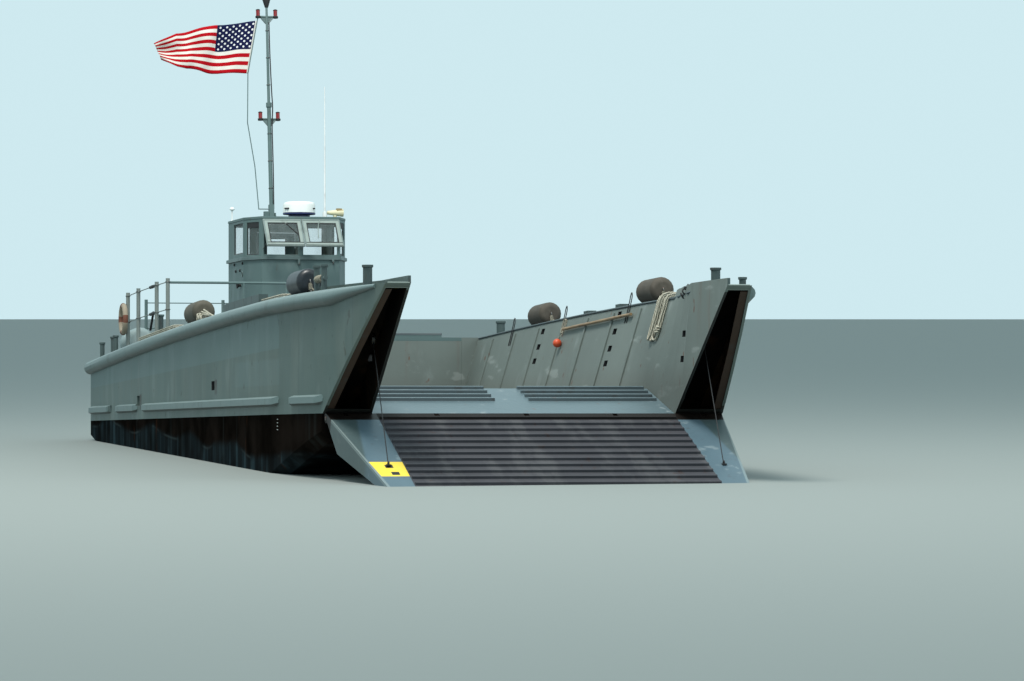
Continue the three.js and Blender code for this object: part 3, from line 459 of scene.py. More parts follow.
class Paint:
    """One material: its shader's fixed numbers, and the nodes that feed it."""

    def __init__(self, name, rough=0.5, specular=0.5):
        self.made = bpy.data.materials.new(name)
        self.made.use_nodes = True
        self.tree = self.made.node_tree
        self.shader = self.tree.nodes["Principled BSDF"]
        self.fix("Roughness", rough)
        self.fix("Specular IOR Level", specular)
        self.where = self.node("TexCoord", {}, {}, "Object")
        self.x, self.y, self.z = (self.split(self.where, axis) for axis in "XYZ")

    def fix(self, socket, value):
        self.shader.inputs[socket].default_value = value

    def node(self, kind, settings, inputs, output=0):
        made = self.tree.nodes.new("ShaderNode" + kind)
        for key, value in settings.items():
            setattr(made, key, value)
        for key, value in inputs.items():
            if isinstance(value, Value):
                self.tree.links.new(value.socket, made.inputs[key])
            else:
                made.inputs[key].default_value = value
        return Value(self, made.outputs[output])

    def maths(self, operation, *values):
        return self.node("Math", {"operation": operation}, dict(enumerate(values)))

    def split(self, vector, axis):
        return self.node("SeparateXYZ", {}, {"Vector": vector}, axis)

    def noise(self, scale, detail, stretch=(1, 1, 1), shift=(0, 0, 0)):
        place = self.node("Mapping", {}, {"Vector": self.where, "Scale": stretch, "Location": shift})
        return self.node("TexNoise", {}, {"Vector": place, "Scale": scale, "Detail": detail})

    def mix(self, factor, first, second):
        return self.node("Mix", {"data_type": "RGBA"}, {0: factor, 6: first, 7: second}, 2)

    def shade(self, colour, grey):
        """A colour darkened or lightened by a value."""
        settings = {"data_type": "RGBA", "blend_type": "MULTIPLY"}
        return self.node("Mix", settings, {0: 1.0, 6: colour, 7: grey}, 2)

    def feed(self, socket, value):
        self.tree.links.new(value.socket, self.shader.inputs[socket])

    def done(self, base, rough, height, depth):
        """Feed the colour, roughness and relief, its depth in metres for a height of 1."""
        self.feed("Base Color", base)
        if rough is not None:
            self.feed("Roughness", rough)
        relief = {"Height": height, "Distance": depth, "Strength": 1.0}
        self.feed("Normal", self.node("Bump", {}, relief))
        return self.made


def rgb(r, g, b):
    return (r, g, b, 1.0)


RUST = rgb(0.13, 0.045, 0.018)
RUST_DARK = rgb(0.045, 0.018, 0.010)
SALT = rgb(0.46, 0.52, 0.51)
# Colour of runs and dirt, also used as painted shade under the rails
GRIME_AND_SHADE = rgb(0.035, 0.038, 0.036)


def weathered(paint, colour, streak, rust, scuff):
    """Paint that has run, rusted and been scuffed, as it stands on upright steel."""
    cloud = paint.noise(0.7, 5)
    runs = paint.noise(2.6, 6, (1, 1, 0.09))
    fine = paint.noise(9, 5, (1, 1, 0.35))
    base = paint.shade(colour, 0.78 + 0.30 * cloud + (0.24 * streak) * (runs - 0.5))
    pale = paint.noise(1.7, 8, (1, 1, 0.5), (3, 1, 7)).ease(0.60, 0.74)
    base = paint.mix(pale * (0.32 * scuff), base, SALT)
    run_marks = runs.ease(0.56, 0.72) * fine.ease(0.42, 0.62)
    base = paint.mix(run_marks * (0.30 * streak), base, GRIME_AND_SHADE)
    spots = paint.noise(5.5, 9, (1, 1, 0.6), (9, 4, 2)).ease(0.665, 0.72)
    trail = paint.noise(3.1, 7, (1, 1, 0.12), (2, 8, 5)).ease(0.63, 0.78)
    base = paint.mix((spots * 0.9).most(trail * 0.45) * rust, base, RUST)
    return base, cloud, spots


def between(value, low, high, soft):
    """One between two limits and none outside them, with soft ends."""
    return value.ease(low - soft, low + soft) * value.ease(high + soft, high - soft)


def haze_grey():
    """Topside paint: haze grey over steel, with butts, runs and rubbed patches."""
    paint = Paint("haze_grey", specular=0.35)
    base, cloud, spots = weathered(paint, rgb(0.098, 0.148, 0.140), 0.6, 0.4, 0.45)
    # Each plate has a tone of its own, from a sine that looks random
    plate_long, plate_high = 1.63, 0.47
    plate = (paint.x / plate_long).whole() * 12.9898 + (paint.z / plate_high).whole() * 78.233
    base = paint.shade(base, 0.95 + 0.10 * (plate.sine() * 43.7585).part())
    brushed = paint.noise(1.9, 4, (1, 1, 0.35), (8, 2, 1)).ease(0.54, 0.70)
    base = paint.mix(brushed * 0.13, base, SALT)
    # Darker towards the bow and below the sheer
    ahead = paint.x.ease(-9.0, 7.0)
    patchy = 0.7 + 0.3 * paint.noise(0.5, 6, (1, 1, 0.6), (1, 6, 2)).ease(0.42, 0.56)
    low_ahead_darkening = paint.z.ease(3.6, 3.2) * (0.22 + 0.44 * ahead) * patchy
    base = paint.mix(low_ahead_darkening, base, rgb(0.042, 0.064, 0.054))
    # A bluer coat above a line along the side, and one patch of it below
    station = paint.x - STERN
    coat_end = 17.6
    edge = 2.255 + (station - 6.45) * 0.0205
    upper = (paint.z - edge).ease(-0.008, 0.008) * station.below(coat_end)
    patch = between(station, 14.3, coat_end, 0.02) * between(paint.z, 1.96, 2.33, 0.02)
    streaks = paint.noise(2.6, 4, (1, 1, 0.14), (4, 4, 0)).ease(0.40, 0.62)
    base = paint.mix(upper * 0.34 + patch * 0.22, base, rgb(0.112, 0.180, 0.186))
    base = paint.mix((1 - upper) * streaks * 0.22, base, rgb(0.120, 0.140, 0.118))
    # Dark brown beside the two larger ports, darkest at their head: painted shade that makes each port
    # look larger, and a dirt stain
    for x, half, low, high in PORTS[1:]:
        under = between(station, x + half - 0.01, x + half + 0.19, 0.012)
        fading = 0.55 + 0.45 * paint.z.ease(low - 0.05, high)
        port_shade_and_stain = between(paint.z, low - 0.05, high, 0.02) * fading
        base = paint.mix(under * port_shade_and_stain * 0.9, base, rgb(0.020, 0.014, 0.009))
    # Welded butts, one every few metres along the hull
    pitch, width = 2.45, 0.012
    lines = ((paint.x * (1 / pitch)).part() - 0.5).size().ease(0.5 - width / pitch, 0.5)
    base = paint.mix(lines * 0.25, base, GRIME_AND_SHADE)
    dents = paint.noise(1.1, 3, (1, 1, 0.8), (5, 5, 5))
    height = dents * 0.28 + lines * 0.12 + paint.noise(70, 3) * 0.02
    return paint.done(base, 0.42 + 0.22 * cloud + 0.25 * spots, height, 0.03)


def inner_grey():
    """The same paint inside the well, drier, dirtier and marked by loads."""
    paint = Paint("inner_grey")
    base, cloud, spots = weathered(paint, rgb(0.150, 0.178, 0.162), 0.8, 0.7, 0.7)
    scrape = paint.noise(2.2, 8, (0.35, 1, 1.6), (1, 2, 3)).ease(0.62, 0.70)
    base = paint.mix(scrape * 0.5, base, rgb(0.30, 0.33, 0.31))
    base = paint.mix(paint.z.ease(2.35, 1.9) * 0.35, base, rgb(0.10, 0.095, 0.080))
    dents = paint.noise(1.4, 4, (1, 1, 1), (5, 1, 5))
    height = dents * 0.4 + paint.noise(60, 3) * 0.02
    return paint.done(base, 0.52 + 0.22 * cloud + 0.2 * spots, height, 0.03)


def bottom_paint():
    """Worn black below the boot top, brown where it has dried, and wet and streaked near the water, where
    its bluish streaks are a painted reflection of the sky.
    """
    paint = Paint("bottom_paint", specular=0.0)
    depth = paint.x * WATER_NORMAL.x + paint.y * WATER_NORMAL.y + paint.z * WATER_NORMAL.z
    height = depth - WATER_OFF
    wave = paint.noise(0.30, 1, (1, 1, 0.2)) + paint.noise(1.4, 3, (0.5, 1, 0.2)) * 0.14 - 0.57
    line = height + wave * 0.9 - 0.30
    wet = line.ease(0.09, -0.07)
    cloud = paint.noise(1.3, 6)
    runs = paint.noise(3.4, 6, (1, 1, 0.06), (2, 1, 0))
    ribs = paint.noise(2.1, 3, (1, 0.2, 0.03), (5, 2, 0)).ease(0.46, 0.60)
    dry = paint.mix(cloud.ease(0.35, 0.7), rgb(0.004, 0.0032, 0.0026), rgb(0.012, 0.009, 0.0075))
    dry = paint.mix(runs.ease(0.55, 0.75) * 0.6, dry, rgb(0.022, 0.024, 0.023))
    # Wet paint, with a painted reflection of the sky in bluish streaks
    damp_and_sky_sheen = paint.mix(runs.ease(0.42, 0.66), rgb(0.010, 0.014, 0.016), rgb(0.028, 0.046, 0.054))
    damp_and_sky_sheen = paint.mix(ribs * 0.6, damp_and_sky_sheen, rgb(0.012, 0.015, 0.016))
    base = paint.mix(wet * (0.45 + 0.55 * cloud.ease(0.35, 0.6)), dry, damp_and_sky_sheen)
    rim = line.size().ease(0.035, 0.0) * paint.noise(1.1, 4).ease(0.48, 0.64)
    base = paint.mix(rim * 0.35, base, rgb(0.055, 0.070, 0.072))
    weed = height.ease(-0.05, -0.5) * paint.noise(8, 6).ease(0.45, 0.62)
    base = paint.mix(weed * 0.6, base, rgb(0.045, 0.052, 0.026))
    rust = paint.noise(2.6, 9, (1, 1, 0.4), (4, 4, 4)).ease(0.66, 0.74)
    base = paint.mix(rust * 0.45, base, RUST_DARK)
    relief = paint.noise(1.2, 4) * 0.8 + paint.noise(26, 4) * 0.06
    return paint.done(base, 0.60 - 0.36 * wet + 0.1 * cloud, relief, 0.03)


def deck_paint():
    """Non-skid deck: blue-grey grit, darker where boots and ropes have run."""
    paint = Paint("deck_paint")
    cloud = paint.noise(1.1, 6)
    grit = paint.noise(140, 2)
    worn = paint.noise(0.9, 9, (0.5, 1, 1), (3, 3, 0)).ease(0.46, 0.74)
    base = paint.shade(rgb(0.085, 0.105, 0.112), 0.75 + 0.5 * cloud)
    base = paint.mix(worn * 0.35, base, rgb(0.15, 0.17, 0.168))
    rust = paint.noise(4.5, 8, (1, 1, 1), (7, 1, 0)).ease(0.70, 0.80)
    base = paint.mix(rust * 0.6, base, RUST)
    base = paint.shade(base, 0.86 + 0.28 * grit)
    height = grit * 0.10 + cloud * 0.4
    return paint.done(base, 0.92 - 0.25 * worn, height, 0.02)


def wing_paint():
    """Smooth blue-grey plate on the sill ahead of the well, wet and shiny in places."""
    paint = Paint("wing_paint")
    cloud = paint.noise(0.9, 5)
    wear = paint.noise(4.5, 8, (1, 1, 1), (4, 0, 2)).ease(0.62, 0.7)
    base = paint.shade(rgb(0.095, 0.140, 0.158), 0.78 + 0.44 * cloud)
    base = paint.mix(wear * 0.5, base, rgb(0.30, 0.34, 0.35))
    rust = paint.noise(6, 8, (1, 1, 1), (1, 7, 3)).ease(0.67, 0.73)
    base = paint.mix(rust * 0.5, base, RUST)
    height = paint.noise(2.0, 4) * 0.6 + paint.noise(50, 3) * 0.03
    return paint.done(base, 0.25 + 0.3 * cloud + 0.2 * wear, height, 0.02)


def pocket_paint():
    """Bare, rusted steel behind the bow frame, painted near black as the shade in its depth; the outer
    plate's inner face keeps patches of rust brown.
    """
    paint = Paint("pocket_paint", specular=0.05)
    cloud = paint.noise(1.5, 6)
    runs = paint.noise(3.3, 7, (1, 1, 0.15)).ease(0.52, 0.7)
    # Near black: painted shade of the deep pocket
    base = paint.mix(cloud.ease(0.3, 0.7), rgb(0.003, 0.003, 0.003), rgb(0.009, 0.007, 0.005))
    base = paint.mix(runs * 0.5, base, rgb(0.040, 0.018, 0.009))
    outer = paint.y.size().above(2.80) * cloud.ease(0.35, 0.55)
    base = paint.mix(outer * 0.6, base, rgb(0.060, 0.034, 0.018))
    return paint.done(base, 0.7 + 0.25 * cloud, paint.noise(9, 6), 0.01)


def bronze():
    """The screws' bronze, greened over."""
    paint = Paint("screw_bronze")
    cloud = paint.noise(6, 6)
    green = paint.noise(9, 7, (1, 1, 1), (2, 2, 2)).ease(0.5, 0.66)
    base = paint.mix(cloud, rgb(0.30, 0.17, 0.06), rgb(0.45, 0.28, 0.11))
    base = paint.mix(green * 0.6, base, rgb(0.07, 0.13, 0.10))
    paint.feed("Metallic", 0.95 - 0.7 * green)
    return paint.done(base, 0.28 + 0.4 * green, paint.noise(30, 4), 0.001)


def bare_steel():
    paint = Paint("bare_steel")
    cloud = paint.noise(12, 6)
    rust = paint.noise(20, 7, (1, 1, 1), (3, 2, 2)).ease(0.52, 0.64)
    base = paint.mix(cloud, rgb(0.09, 0.09, 0.09), rgb(0.19, 0.19, 0.18))
    base = paint.mix(rust * 0.6, base, RUST)
    paint.feed("Metallic", 0.85 - 0.75 * rust)
    return paint.done(base, 0.35 + 0.4 * rust, paint.noise(60, 4), 0.001)


def machinery():
    """Engine enamel, oily in its hollows."""
    paint = Paint("machinery")
    cloud = paint.noise(3, 6)
    oil = paint.noise(5, 7, (1, 1, 0.4), (1, 3, 3)).ease(0.52, 0.68)
    base = paint.shade(rgb(0.085, 0.120, 0.085), 0.7 + 0.6 * cloud)
    base = paint.mix(oil * 0.7, base, rgb(0.012, 0.010, 0.008))
    return paint.done(base, 0.5 - 0.3 * oil, paint.noise(15, 5), 0.003)


def plain_coat(name, colour, rough, dirt=0.3, scale=6.0, grain=60.0):
    """Gel coat, enamel or rubber of one colour with dirt in its hollows."""
    paint = Paint(name)
    cloud = paint.noise(scale, 6)
    marks = paint.noise(scale * 2.3, 8, (1, 1, 0.4), (4, 1, 2)).ease(0.55, 0.7)
    base = paint.shade(colour, 0.82 + 0.36 * cloud)
    base = paint.mix(marks * dirt, base, rgb(0.05, 0.045, 0.04))
    shine = (rough - 0.08) + 0.16 * cloud + 0.2 * dirt * marks
    return paint.done(base, shine, paint.noise(grain, 4) * 0.3 + cloud, 0.002)


def edge_paint():
    """Front edges of the bow plating: grey outboard, bare and dark round the pocket."""
    paint = Paint("ledge_grey")
    bare = paint.y.size().below(2.44).most(paint.z.below(1.64)) * paint.z.below(3.18)
    cloud = paint.noise(3, 6)
    base = paint.shade(rgb(0.13, 0.165, 0.15), 0.82 + 0.36 * cloud)
    base = paint.mix(bare * 0.9, base, rgb(0.010, 0.008, 0.006))
    return paint.done(base, 0.45 + 0.2 * cloud, cloud, 0.002)


def rail_paint():
    """Grey of the rub rails and fittings: a painted highlight where it faces up, painted shade where it
    faces down.
    """
    paint = Paint("rail_grey")
    facing = paint.split(paint.node("NewGeometry", {}, {}, "Normal"), "Z")
    cloud = paint.noise(3, 6)
    marks = paint.noise(7, 8, (1, 1, 0.4), (4, 1, 2)).ease(0.55, 0.7)
    base = paint.shade(rgb(0.108, 0.158, 0.155), 0.82 + 0.36 * cloud)
    base = paint.mix(marks * 0.3, base, GRIME_AND_SHADE)
    # Painted highlight on faces that look up, and painted shade on faces that look down
    base = paint.mix(facing.ease(0.25, 0.95) * 0.28, base, rgb(0.30, 0.37, 0.37))
    base = paint.mix(facing.ease(0.05, -0.75) * 0.62, base, GRIME_AND_SHADE)
    height = paint.noise(30, 4) * 0.3 + cloud
    return paint.done(base, 0.38 + 0.16 * cloud, height, 0.002)


def fender_skin(name, dark, light, rubbed=0.12, rough=0.62):
    """Foam fender under a tough skin, rubbed pale where it has rolled on steel."""
    paint = Paint(name)
    cloud = paint.noise(3, 6)
    rub = paint.noise(7, 8, (0.4, 1.5, 1.5), (1, 1, 1)).ease(0.5, 0.68)
    base = paint.mix(cloud.ease(0.3, 0.7), rgb(*dark), rgb(*light))
    base = paint.mix(rub * rubbed, base, rgb(0.20, 0.18, 0.15))
    height = paint.noise(35, 5) * 0.35 + cloud * 0.3
    return paint.done(base, rough + 0.25 * cloud, height, 0.004)


def rope_lay(name, light, dark):
    """Laid rope: strands wind round the line of the rope, which its UV map follows, with painted shade in
    the grooves between them.
    """
    paint = Paint(name, rough=0.9)
    uv = paint.node("UVMap", {}, {})
    along, around = (paint.split(uv, axis) for axis in "XY")
    pitch, strands = 0.05, 3.0
    strand = ((along / pitch + around * strands).part() - 0.5).size() * 2.0
    fuzz = paint.noise(90, 4)
    # Painted shade: the grooves between strands take the dark colour, which the next line also uses for
    # dirt
    base = paint.mix(strand.ease(0.95, 0.35), dark, light)
    base = paint.mix(paint.noise(2.5, 6).ease(0.5, 0.7) * 0.3, base, dark)
    base = paint.shade(base, 0.8 + 0.4 * fuzz)
    return paint.done(base, None, strand * -0.8 + fuzz * 0.2, 0.006)


def ramp_coat():
    """The ramp's top: a dark ribbed tread between smooth blue-grey wings, and one yellow patch."""
    paint = Paint("ramp_coat", specular=0.3)
    cos, sin = math.cos(RAMP_DOWN), math.sin(RAMP_DOWN)
    dx = paint.x - (STERN + HINGE[0])
    dz = paint.z - HINGE[1]
    out = dx * cos - dz * sin
    up = dx * sin + dz * cos
    across = paint.y.size()
    cloud = paint.noise(1.6, 6)
    wear = paint.noise(4.5, 8, (1, 1, 1), (4, 0, 2)).ease(0.60, 0.70)
    tread = paint.shade(rgb(0.043, 0.043, 0.050), 0.7 + 0.6 * cloud)
    scrape = paint.noise(1.2, 5, (0.25, 2.4, 1), (1, 1, 1)).ease(0.5, 0.66)
    tread = paint.mix(scrape * 0.28, tread, rgb(0.13, 0.13, 0.13))
    rust = paint.noise(7, 9, (1, 1, 1), (2, 6, 1)).ease(0.62, 0.74)
    tread = paint.mix(rust * 0.45, tread, RUST_DARK)
    wing = paint.shade(rgb(0.082, 0.130, 0.158), 0.8 + 0.4 * cloud)
    wing = paint.mix(wear * 0.4, wing, rgb(0.27, 0.32, 0.33))
    wing = paint.mix(rust * 0.25, wing, RUST_DARK)
    outer = (across - (2.46 + 0.11 * out)).ease(-0.02, 0.03)
    wing = paint.mix(outer * 0.8, wing, rgb(0.054, 0.078, 0.074))
    tread_half = 2.165
    beside = across.above(tread_half)
    base = paint.mix(beside, tread, wing)
    # The patch on the starboard wing, and the two black marks in it
    near, far = 1.785, 2.30
    inboard = (paint.y + 2.164).below(0)
    outboard = (paint.y + (2.63 - 0.142 * (out - near))).above(0)
    patch = inboard * outboard * out.above(near) * out.below(far) * up.above(0.03)
    base = paint.mix(patch, base, paint.shade(rgb(0.90, 0.62, 0.05), 0.85 + 0.3 * cloud))
    for along, aside in ((1.947, -2.381), (2.197, -2.339)):
        spot = (out - along).size().below(0.055) * (paint.y - aside).size().below(0.055)
        base = paint.mix(spot * patch, base, rgb(0.01, 0.01, 0.01))
    edge = (across + 0.135 * out).above(2.87) * up.above(0.03)
    base = paint.mix(edge * 0.5, base, rgb(0.26, 0.31, 0.30))
    heel = out.below(0.23)
    base = paint.mix(heel, base, rgb(0.006, 0.004, 0.003))
    shine = 0.62 - 0.3 * beside + 0.2 * cloud
    height = cloud * 0.5 + paint.noise(48, 4) * 0.05
    return paint.done(base, shine, height, 0.02)


def stripes():
    """A flag of thirteen stripes and fifty stars, read off the cloth's own UV map."""
    paint = Paint("flag_cloth", rough=0.9, specular=0.1)
    uv = paint.node("UVMap", {}, {})
    u, v = (paint.split(uv, axis) for axis in "XY")
    red = (v * 6.5).part().below(0.5)
    base = paint.mix(red, rgb(0.70, 0.66, 0.60), rgb(0.40, 0.004, 0.010))
    # The canton is two fifths of the length and seven stripes deep
    canton_long, canton_low = 0.4, 6 / 13
    canton = u.below(canton_long) * v.above(canton_low)
    base = paint.mix(canton, base, rgb(0.008, 0.011, 0.050))
    column = u * (12 / canton_long)
    row = (v - canton_low) * (10 * 13 / 7)
    near_column = (column + 0.5).whole()
    near_row = (row + 0.5).whole()
    even = ((near_column + near_row) * 0.5).part().below(0.25)
    inside = near_column.above(0.5) * near_column.below(11.5)
    inside = inside * near_row.above(0.5) * near_row.below(9.5)
    dx = (column - near_column) * 0.063
    dy = (row - near_row) * 0.054
    star = paint.maths("SQRT", dx * dx + dy * dy).below(0.020) * even * inside * canton
    base = paint.mix(star, base, rgb(0.72, 0.72, 0.70))
    base = paint.mix(u.below(0.018), base, rgb(0.62, 0.60, 0.55))
    weave = paint.noise(160, 2)
    return paint.done(paint.shade(base, 0.9 + 0.2 * weave), None, weave, 0.001)


def radome_coat():
    """White gel coat over a navy base."""
    paint = Paint("radome_coat")
    cloud = paint.noise(7, 6)
    white = paint.shade(rgb(0.86, 0.87, 0.84), 0.9 + 0.2 * cloud)
    base = paint.mix(paint.z.below(ROOF_TOP + 0.092), white, rgb(0.012, 0.018, 0.090))
    return paint.done(base, 0.25 + 0.2 * cloud, cloud, 0.001)


def varnished_wood():
    """The pole's old varnish, grey where it has worn off."""
    paint = Paint("varnished_wood")
    grain = paint.noise(3, 8, (0.6, 14, 14))
    base = paint.mix(grain.ease(0.35, 0.65), rgb(0.17, 0.10, 0.045), rgb(0.34, 0.22, 0.11))
    wear = paint.noise(6, 6, (0.3, 1, 1), (3, 3, 3)).ease(0.55, 0.7)
    base = paint.mix(wear * 0.5, base, rgb(0.30, 0.26, 0.21))
    return paint.done(base, 0.45 + 0.3 * wear, grain, 0.002)


def ring_bands():
    """The life ring's canvas: pale tan with a reddish band at its top and sides."""
    paint = Paint("ring_bands")
    dx = paint.x - (STERN + GUARD_POSTS[0][0])
    dz = paint.z - (deck_at(GUARD_POSTS[0][0]) + 0.6)
    turn = paint.maths("ARCTAN2", dz, dx)
    quarter = ((turn * (2 / math.pi) + 0.5).part() - 0.5).size()
    cloud = paint.noise(14, 6)
    base = paint.mix(quarter.below(0.16), rgb(0.30, 0.25, 0.185), rgb(0.15, 0.055, 0.032))
    base = paint.shade(base, 0.8 + 0.4 * cloud)
    return paint.done(base, 0.75 + 0.15 * cloud, paint.noise(60, 4), 0.002)


def window_glass():
    """Tinted safety glass, a little dusty."""
    paint = Paint("window_glass")
    dust = paint.noise(5, 5, (1, 1, 0.5)).ease(0.35, 0.85)
    base = paint.mix(dust, rgb(0.34, 0.42, 0.42), rgb(0.45, 0.50, 0.49))
    paint.feed("Base Color", base)
    paint.feed("Alpha", 0.09 + 0.08 * dust)
    paint.feed("Roughness", 0.05 + 0.10 * dust)
    return paint.made


def studio_floor():
    """The pale floor: seen from above only, so that the bottom can be looked at from below."""
    paint = Paint("studio_floor", rough=0.9)
    paint.fix("Base Color", rgb(0.225, 0.25, 0.238))
    back = paint.node("NewGeometry", {}, {}, "Backfacing")
    nothing = paint.node("BsdfTransparent", {}, {})
    skin = Value(paint, paint.shader.outputs[0])
    mixed = paint.node("MixShader", {}, {0: back, 1: skin, 2: nothing})
    surface = paint.tree.nodes["Material Output"].inputs["Surface"]
    paint.tree.links.new(mixed.socket, surface)
    return paint.made


FINISH = {
    "topside": haze_grey(),
    "inner": inner_grey(),
    "bottom": bottom_paint(),
    "deck": deck_paint(),
    "wing": wing_paint(),
    "pocket": pocket_paint(),
    "bronze": bronze(),
    "steel": bare_steel(),
    "engine": machinery(),
    "fender": fender_skin("fender_olive", (0.058, 0.052, 0.036), (0.085, 0.075, 0.054)),
    "fender_black": fender_skin("fender_black", (0.005, 0.007, 0.010), (0.013, 0.019, 0.027), 0.03, 0.28),
    "fender_blue": fender_skin("fender_blue", (0.25, 0.32, 0.32), (0.34, 0.41, 0.40)),
    "fender_brown": fender_skin("fender_brown", (0.052, 0.042, 0.031), (0.078, 0.064, 0.048)),
    "rope": rope_lay("rope_white", rgb(0.55, 0.52, 0.42), rgb(0.17, 0.15, 0.11)),
    "old_rope": rope_lay("rope_tan", rgb(0.34, 0.31, 0.24), rgb(0.10, 0.09, 0.065)),
    "flag": stripes(),
    "radome": radome_coat(),
    "wood": varnished_wood(),
    "bands": ring_bands(),
    "ramp_coat": ramp_coat(),
    "ledge": edge_paint(),
    "rail": rail_paint(),
    "glass": window_glass(),
}
# Plain coats: name of the material, colour, roughness, dirt, and the sizes of its clouds and grain
for key, (name, colour, *rest) in {
    "white": ("white_coat", (0.78, 0.80, 0.79), 0.35, 0.15),
    "cream": ("cream_coat", (0.70, 0.64, 0.42), 0.45, 0.25),
    "black": ("black_rubber", (0.012, 0.012, 0.013), 0.6, 0.3),
    "driver": ("driver_tan", (0.30, 0.22, 0.10), 0.5, 0.4),
    "flange": ("flange_brown", (0.042, 0.022, 0.012), 0.8, 0.6, 2.0, 20.0),
    "orange": ("float_orange", (0.62, 0.075, 0.02), 0.4, 0.2),
    # cabin_grey is pale to stand in for daylight inside the closed house: painted light
    "cabin": ("cabin_grey", (0.86, 0.80, 0.70), 0.6, 0.15, 2.0, 20.0),
    "frame": ("frame_grey", (0.25, 0.30, 0.275), 0.5, 0.25, 3.0, 30.0),
    "beam": ("beam_brown", (0.030, 0.022, 0.018), 0.75, 0.5, 1.5, 20.0),
    # cleat_dark is painted shade on the apron cleats' forward faces, and the edge bars' own colour
    "cleat": ("cleat_dark", (0.062, 0.084, 0.093), 0.7, 0.5, 2.0, 20.0),
    "bitt": ("bitt_grey", (0.050, 0.076, 0.074), 0.5, 0.5, 5.0, 30.0),
    "post": ("post_grey", (0.175, 0.200, 0.185), 0.5, 0.4, 5.0, 30.0),
    "tick": ("tick_white", (0.42, 0.46, 0.44), 0.6, 0.4, 8.0, 30.0),
    "red": ("lamp_red", (0.22, 0.010, 0.012), 0.25, 0.1, 20.0),
}.items():
    FINISH[key] = plain_coat(name, rgb(*colour), *rest)


# Dressed copies of the rigid nodes


def dress(node, finish, also):
    """A node's own form with its edges rounded; also gives other finishes to chosen faces."""
    angle, rounding, weld = 35, 0.006, 0.00008
    source = frame["nodes"][node]
    piece = source.copy()
    piece.data = source.data.copy()
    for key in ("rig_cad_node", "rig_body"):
        del piece[key]
    piece.parent = None
    piece.name = node + "_dressed"
    bpy.context.scene.collection.objects.link(piece)
    take(piece)
    bpy.ops.mesh.customdata_custom_splitnormals_clear()
    bpy.ops.object.mode_set(mode="EDIT")
    bpy.ops.mesh.select_all(action="SELECT")
    bpy.ops.mesh.remove_doubles(threshold=weld)
    bpy.ops.mesh.dissolve_limited(angle_limit=math.radians(0.05))
    leave()
    round_edges(piece, rounding, angle)
    smooth(piece, angle)
    modify(piece, "WEIGHTED_NORMAL", keep_sharp=True, weight=80)
    fitted(piece, finish, source["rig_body"], [node])
    for i, (other, test) in enumerate(also):
        piece.data.materials.append(FINISH[other])
        for face in piece.data.polygons:
            if test(face.center - at(0, 0, 0), face.normal):
                face.material_index = i + 1


# Tests that pick the faces of a node for another finish, given a place on the craft and a normal


def on_deck(p, n):
    return n.z > 0.7 and p.z > deck_at(p.x) - 0.06


def in_pocket(p, n):
    """Behind the open end of a side's bow plating, where faces take the near-black pocket finish as
    painted shade.
    """
    inner = max(WELL_HALF, wall_at(p.x, p.z)) + 0.022
    hollow = inner < abs(p.y) < beam_at(p.x) - 0.028
    return hollow and p.x > rake_x(p.z) - 0.96 and 1.5 < p.z < deck_at(p.x) - 0.03


def in_hole(p, n):
    """Recesses of the well's inner wall and ports in the side, whose faces take the black finish as
    painted shade.
    """
    off = abs(p.y) - wall_at(p.x, p.z)
    long, high = 0.115, 0.06
    inner = 0.012 < off < 0.1 and any(
        abs(p.x - x) < long and any(abs(p.z - z) < high for z in heights)
        for x, *heights in HOLE_ROWS
    )
    port = any(abs(p.x - x) < half and foot < p.z < head for x, half, foot, head in PORTS)
    return inner or (port and abs(p.y) < beam_at(p.x) - 0.012)


def in_well(p, n):
    """The leaning inner wall and the ribs that stand on it."""
    inboard = wall_at(p.x, p.z) - abs(p.y)
    facing = n.y * (1 if p.y > 0 else -1) < -0.3 or (inboard > 0.003 and p.z < deck_at(p.x) - 0.01)
    return facing and p.x > WELL_AFT - 0.05 and inboard > -0.05


def on_fittings(p, n):
    """Posts, bitts and chocks that stand on the side decks."""
    return p.z > deck_at(p.x) + 0.03 and abs(p.y) > wall_at(p.x, p.z) + 0.08


def on_rub_strip(p, n):
    """The lengths of low rub rail along the sides."""
    return 1.63 < p.z < 1.81 and abs(p.y) > beam_at(p.x) + 0.003


def plate_front(p, n):
    """The bare front edge of the bow's plating."""
    return n.x > 0.4 and p.x > rake_x(p.z) - 0.1 and abs(p.y) > 2.0


def inside_house(p, n):
    """Faces of the house's plating that look into the cabin."""
    wall, middle = 0.03, 2.9
    long = HOUSE["aft"] + wall < p.x < HOUSE["front"] - wall
    return long and abs(p.y) < HOUSE["half"] - wall and n.x * (p.x - middle) + n.y * p.y < 0.001


def in_window(p, n):
    return SILL - 0.01 < p.z < HEAD + 0.01 and (inside_house(p, n) or abs(n.z) > 0.5)


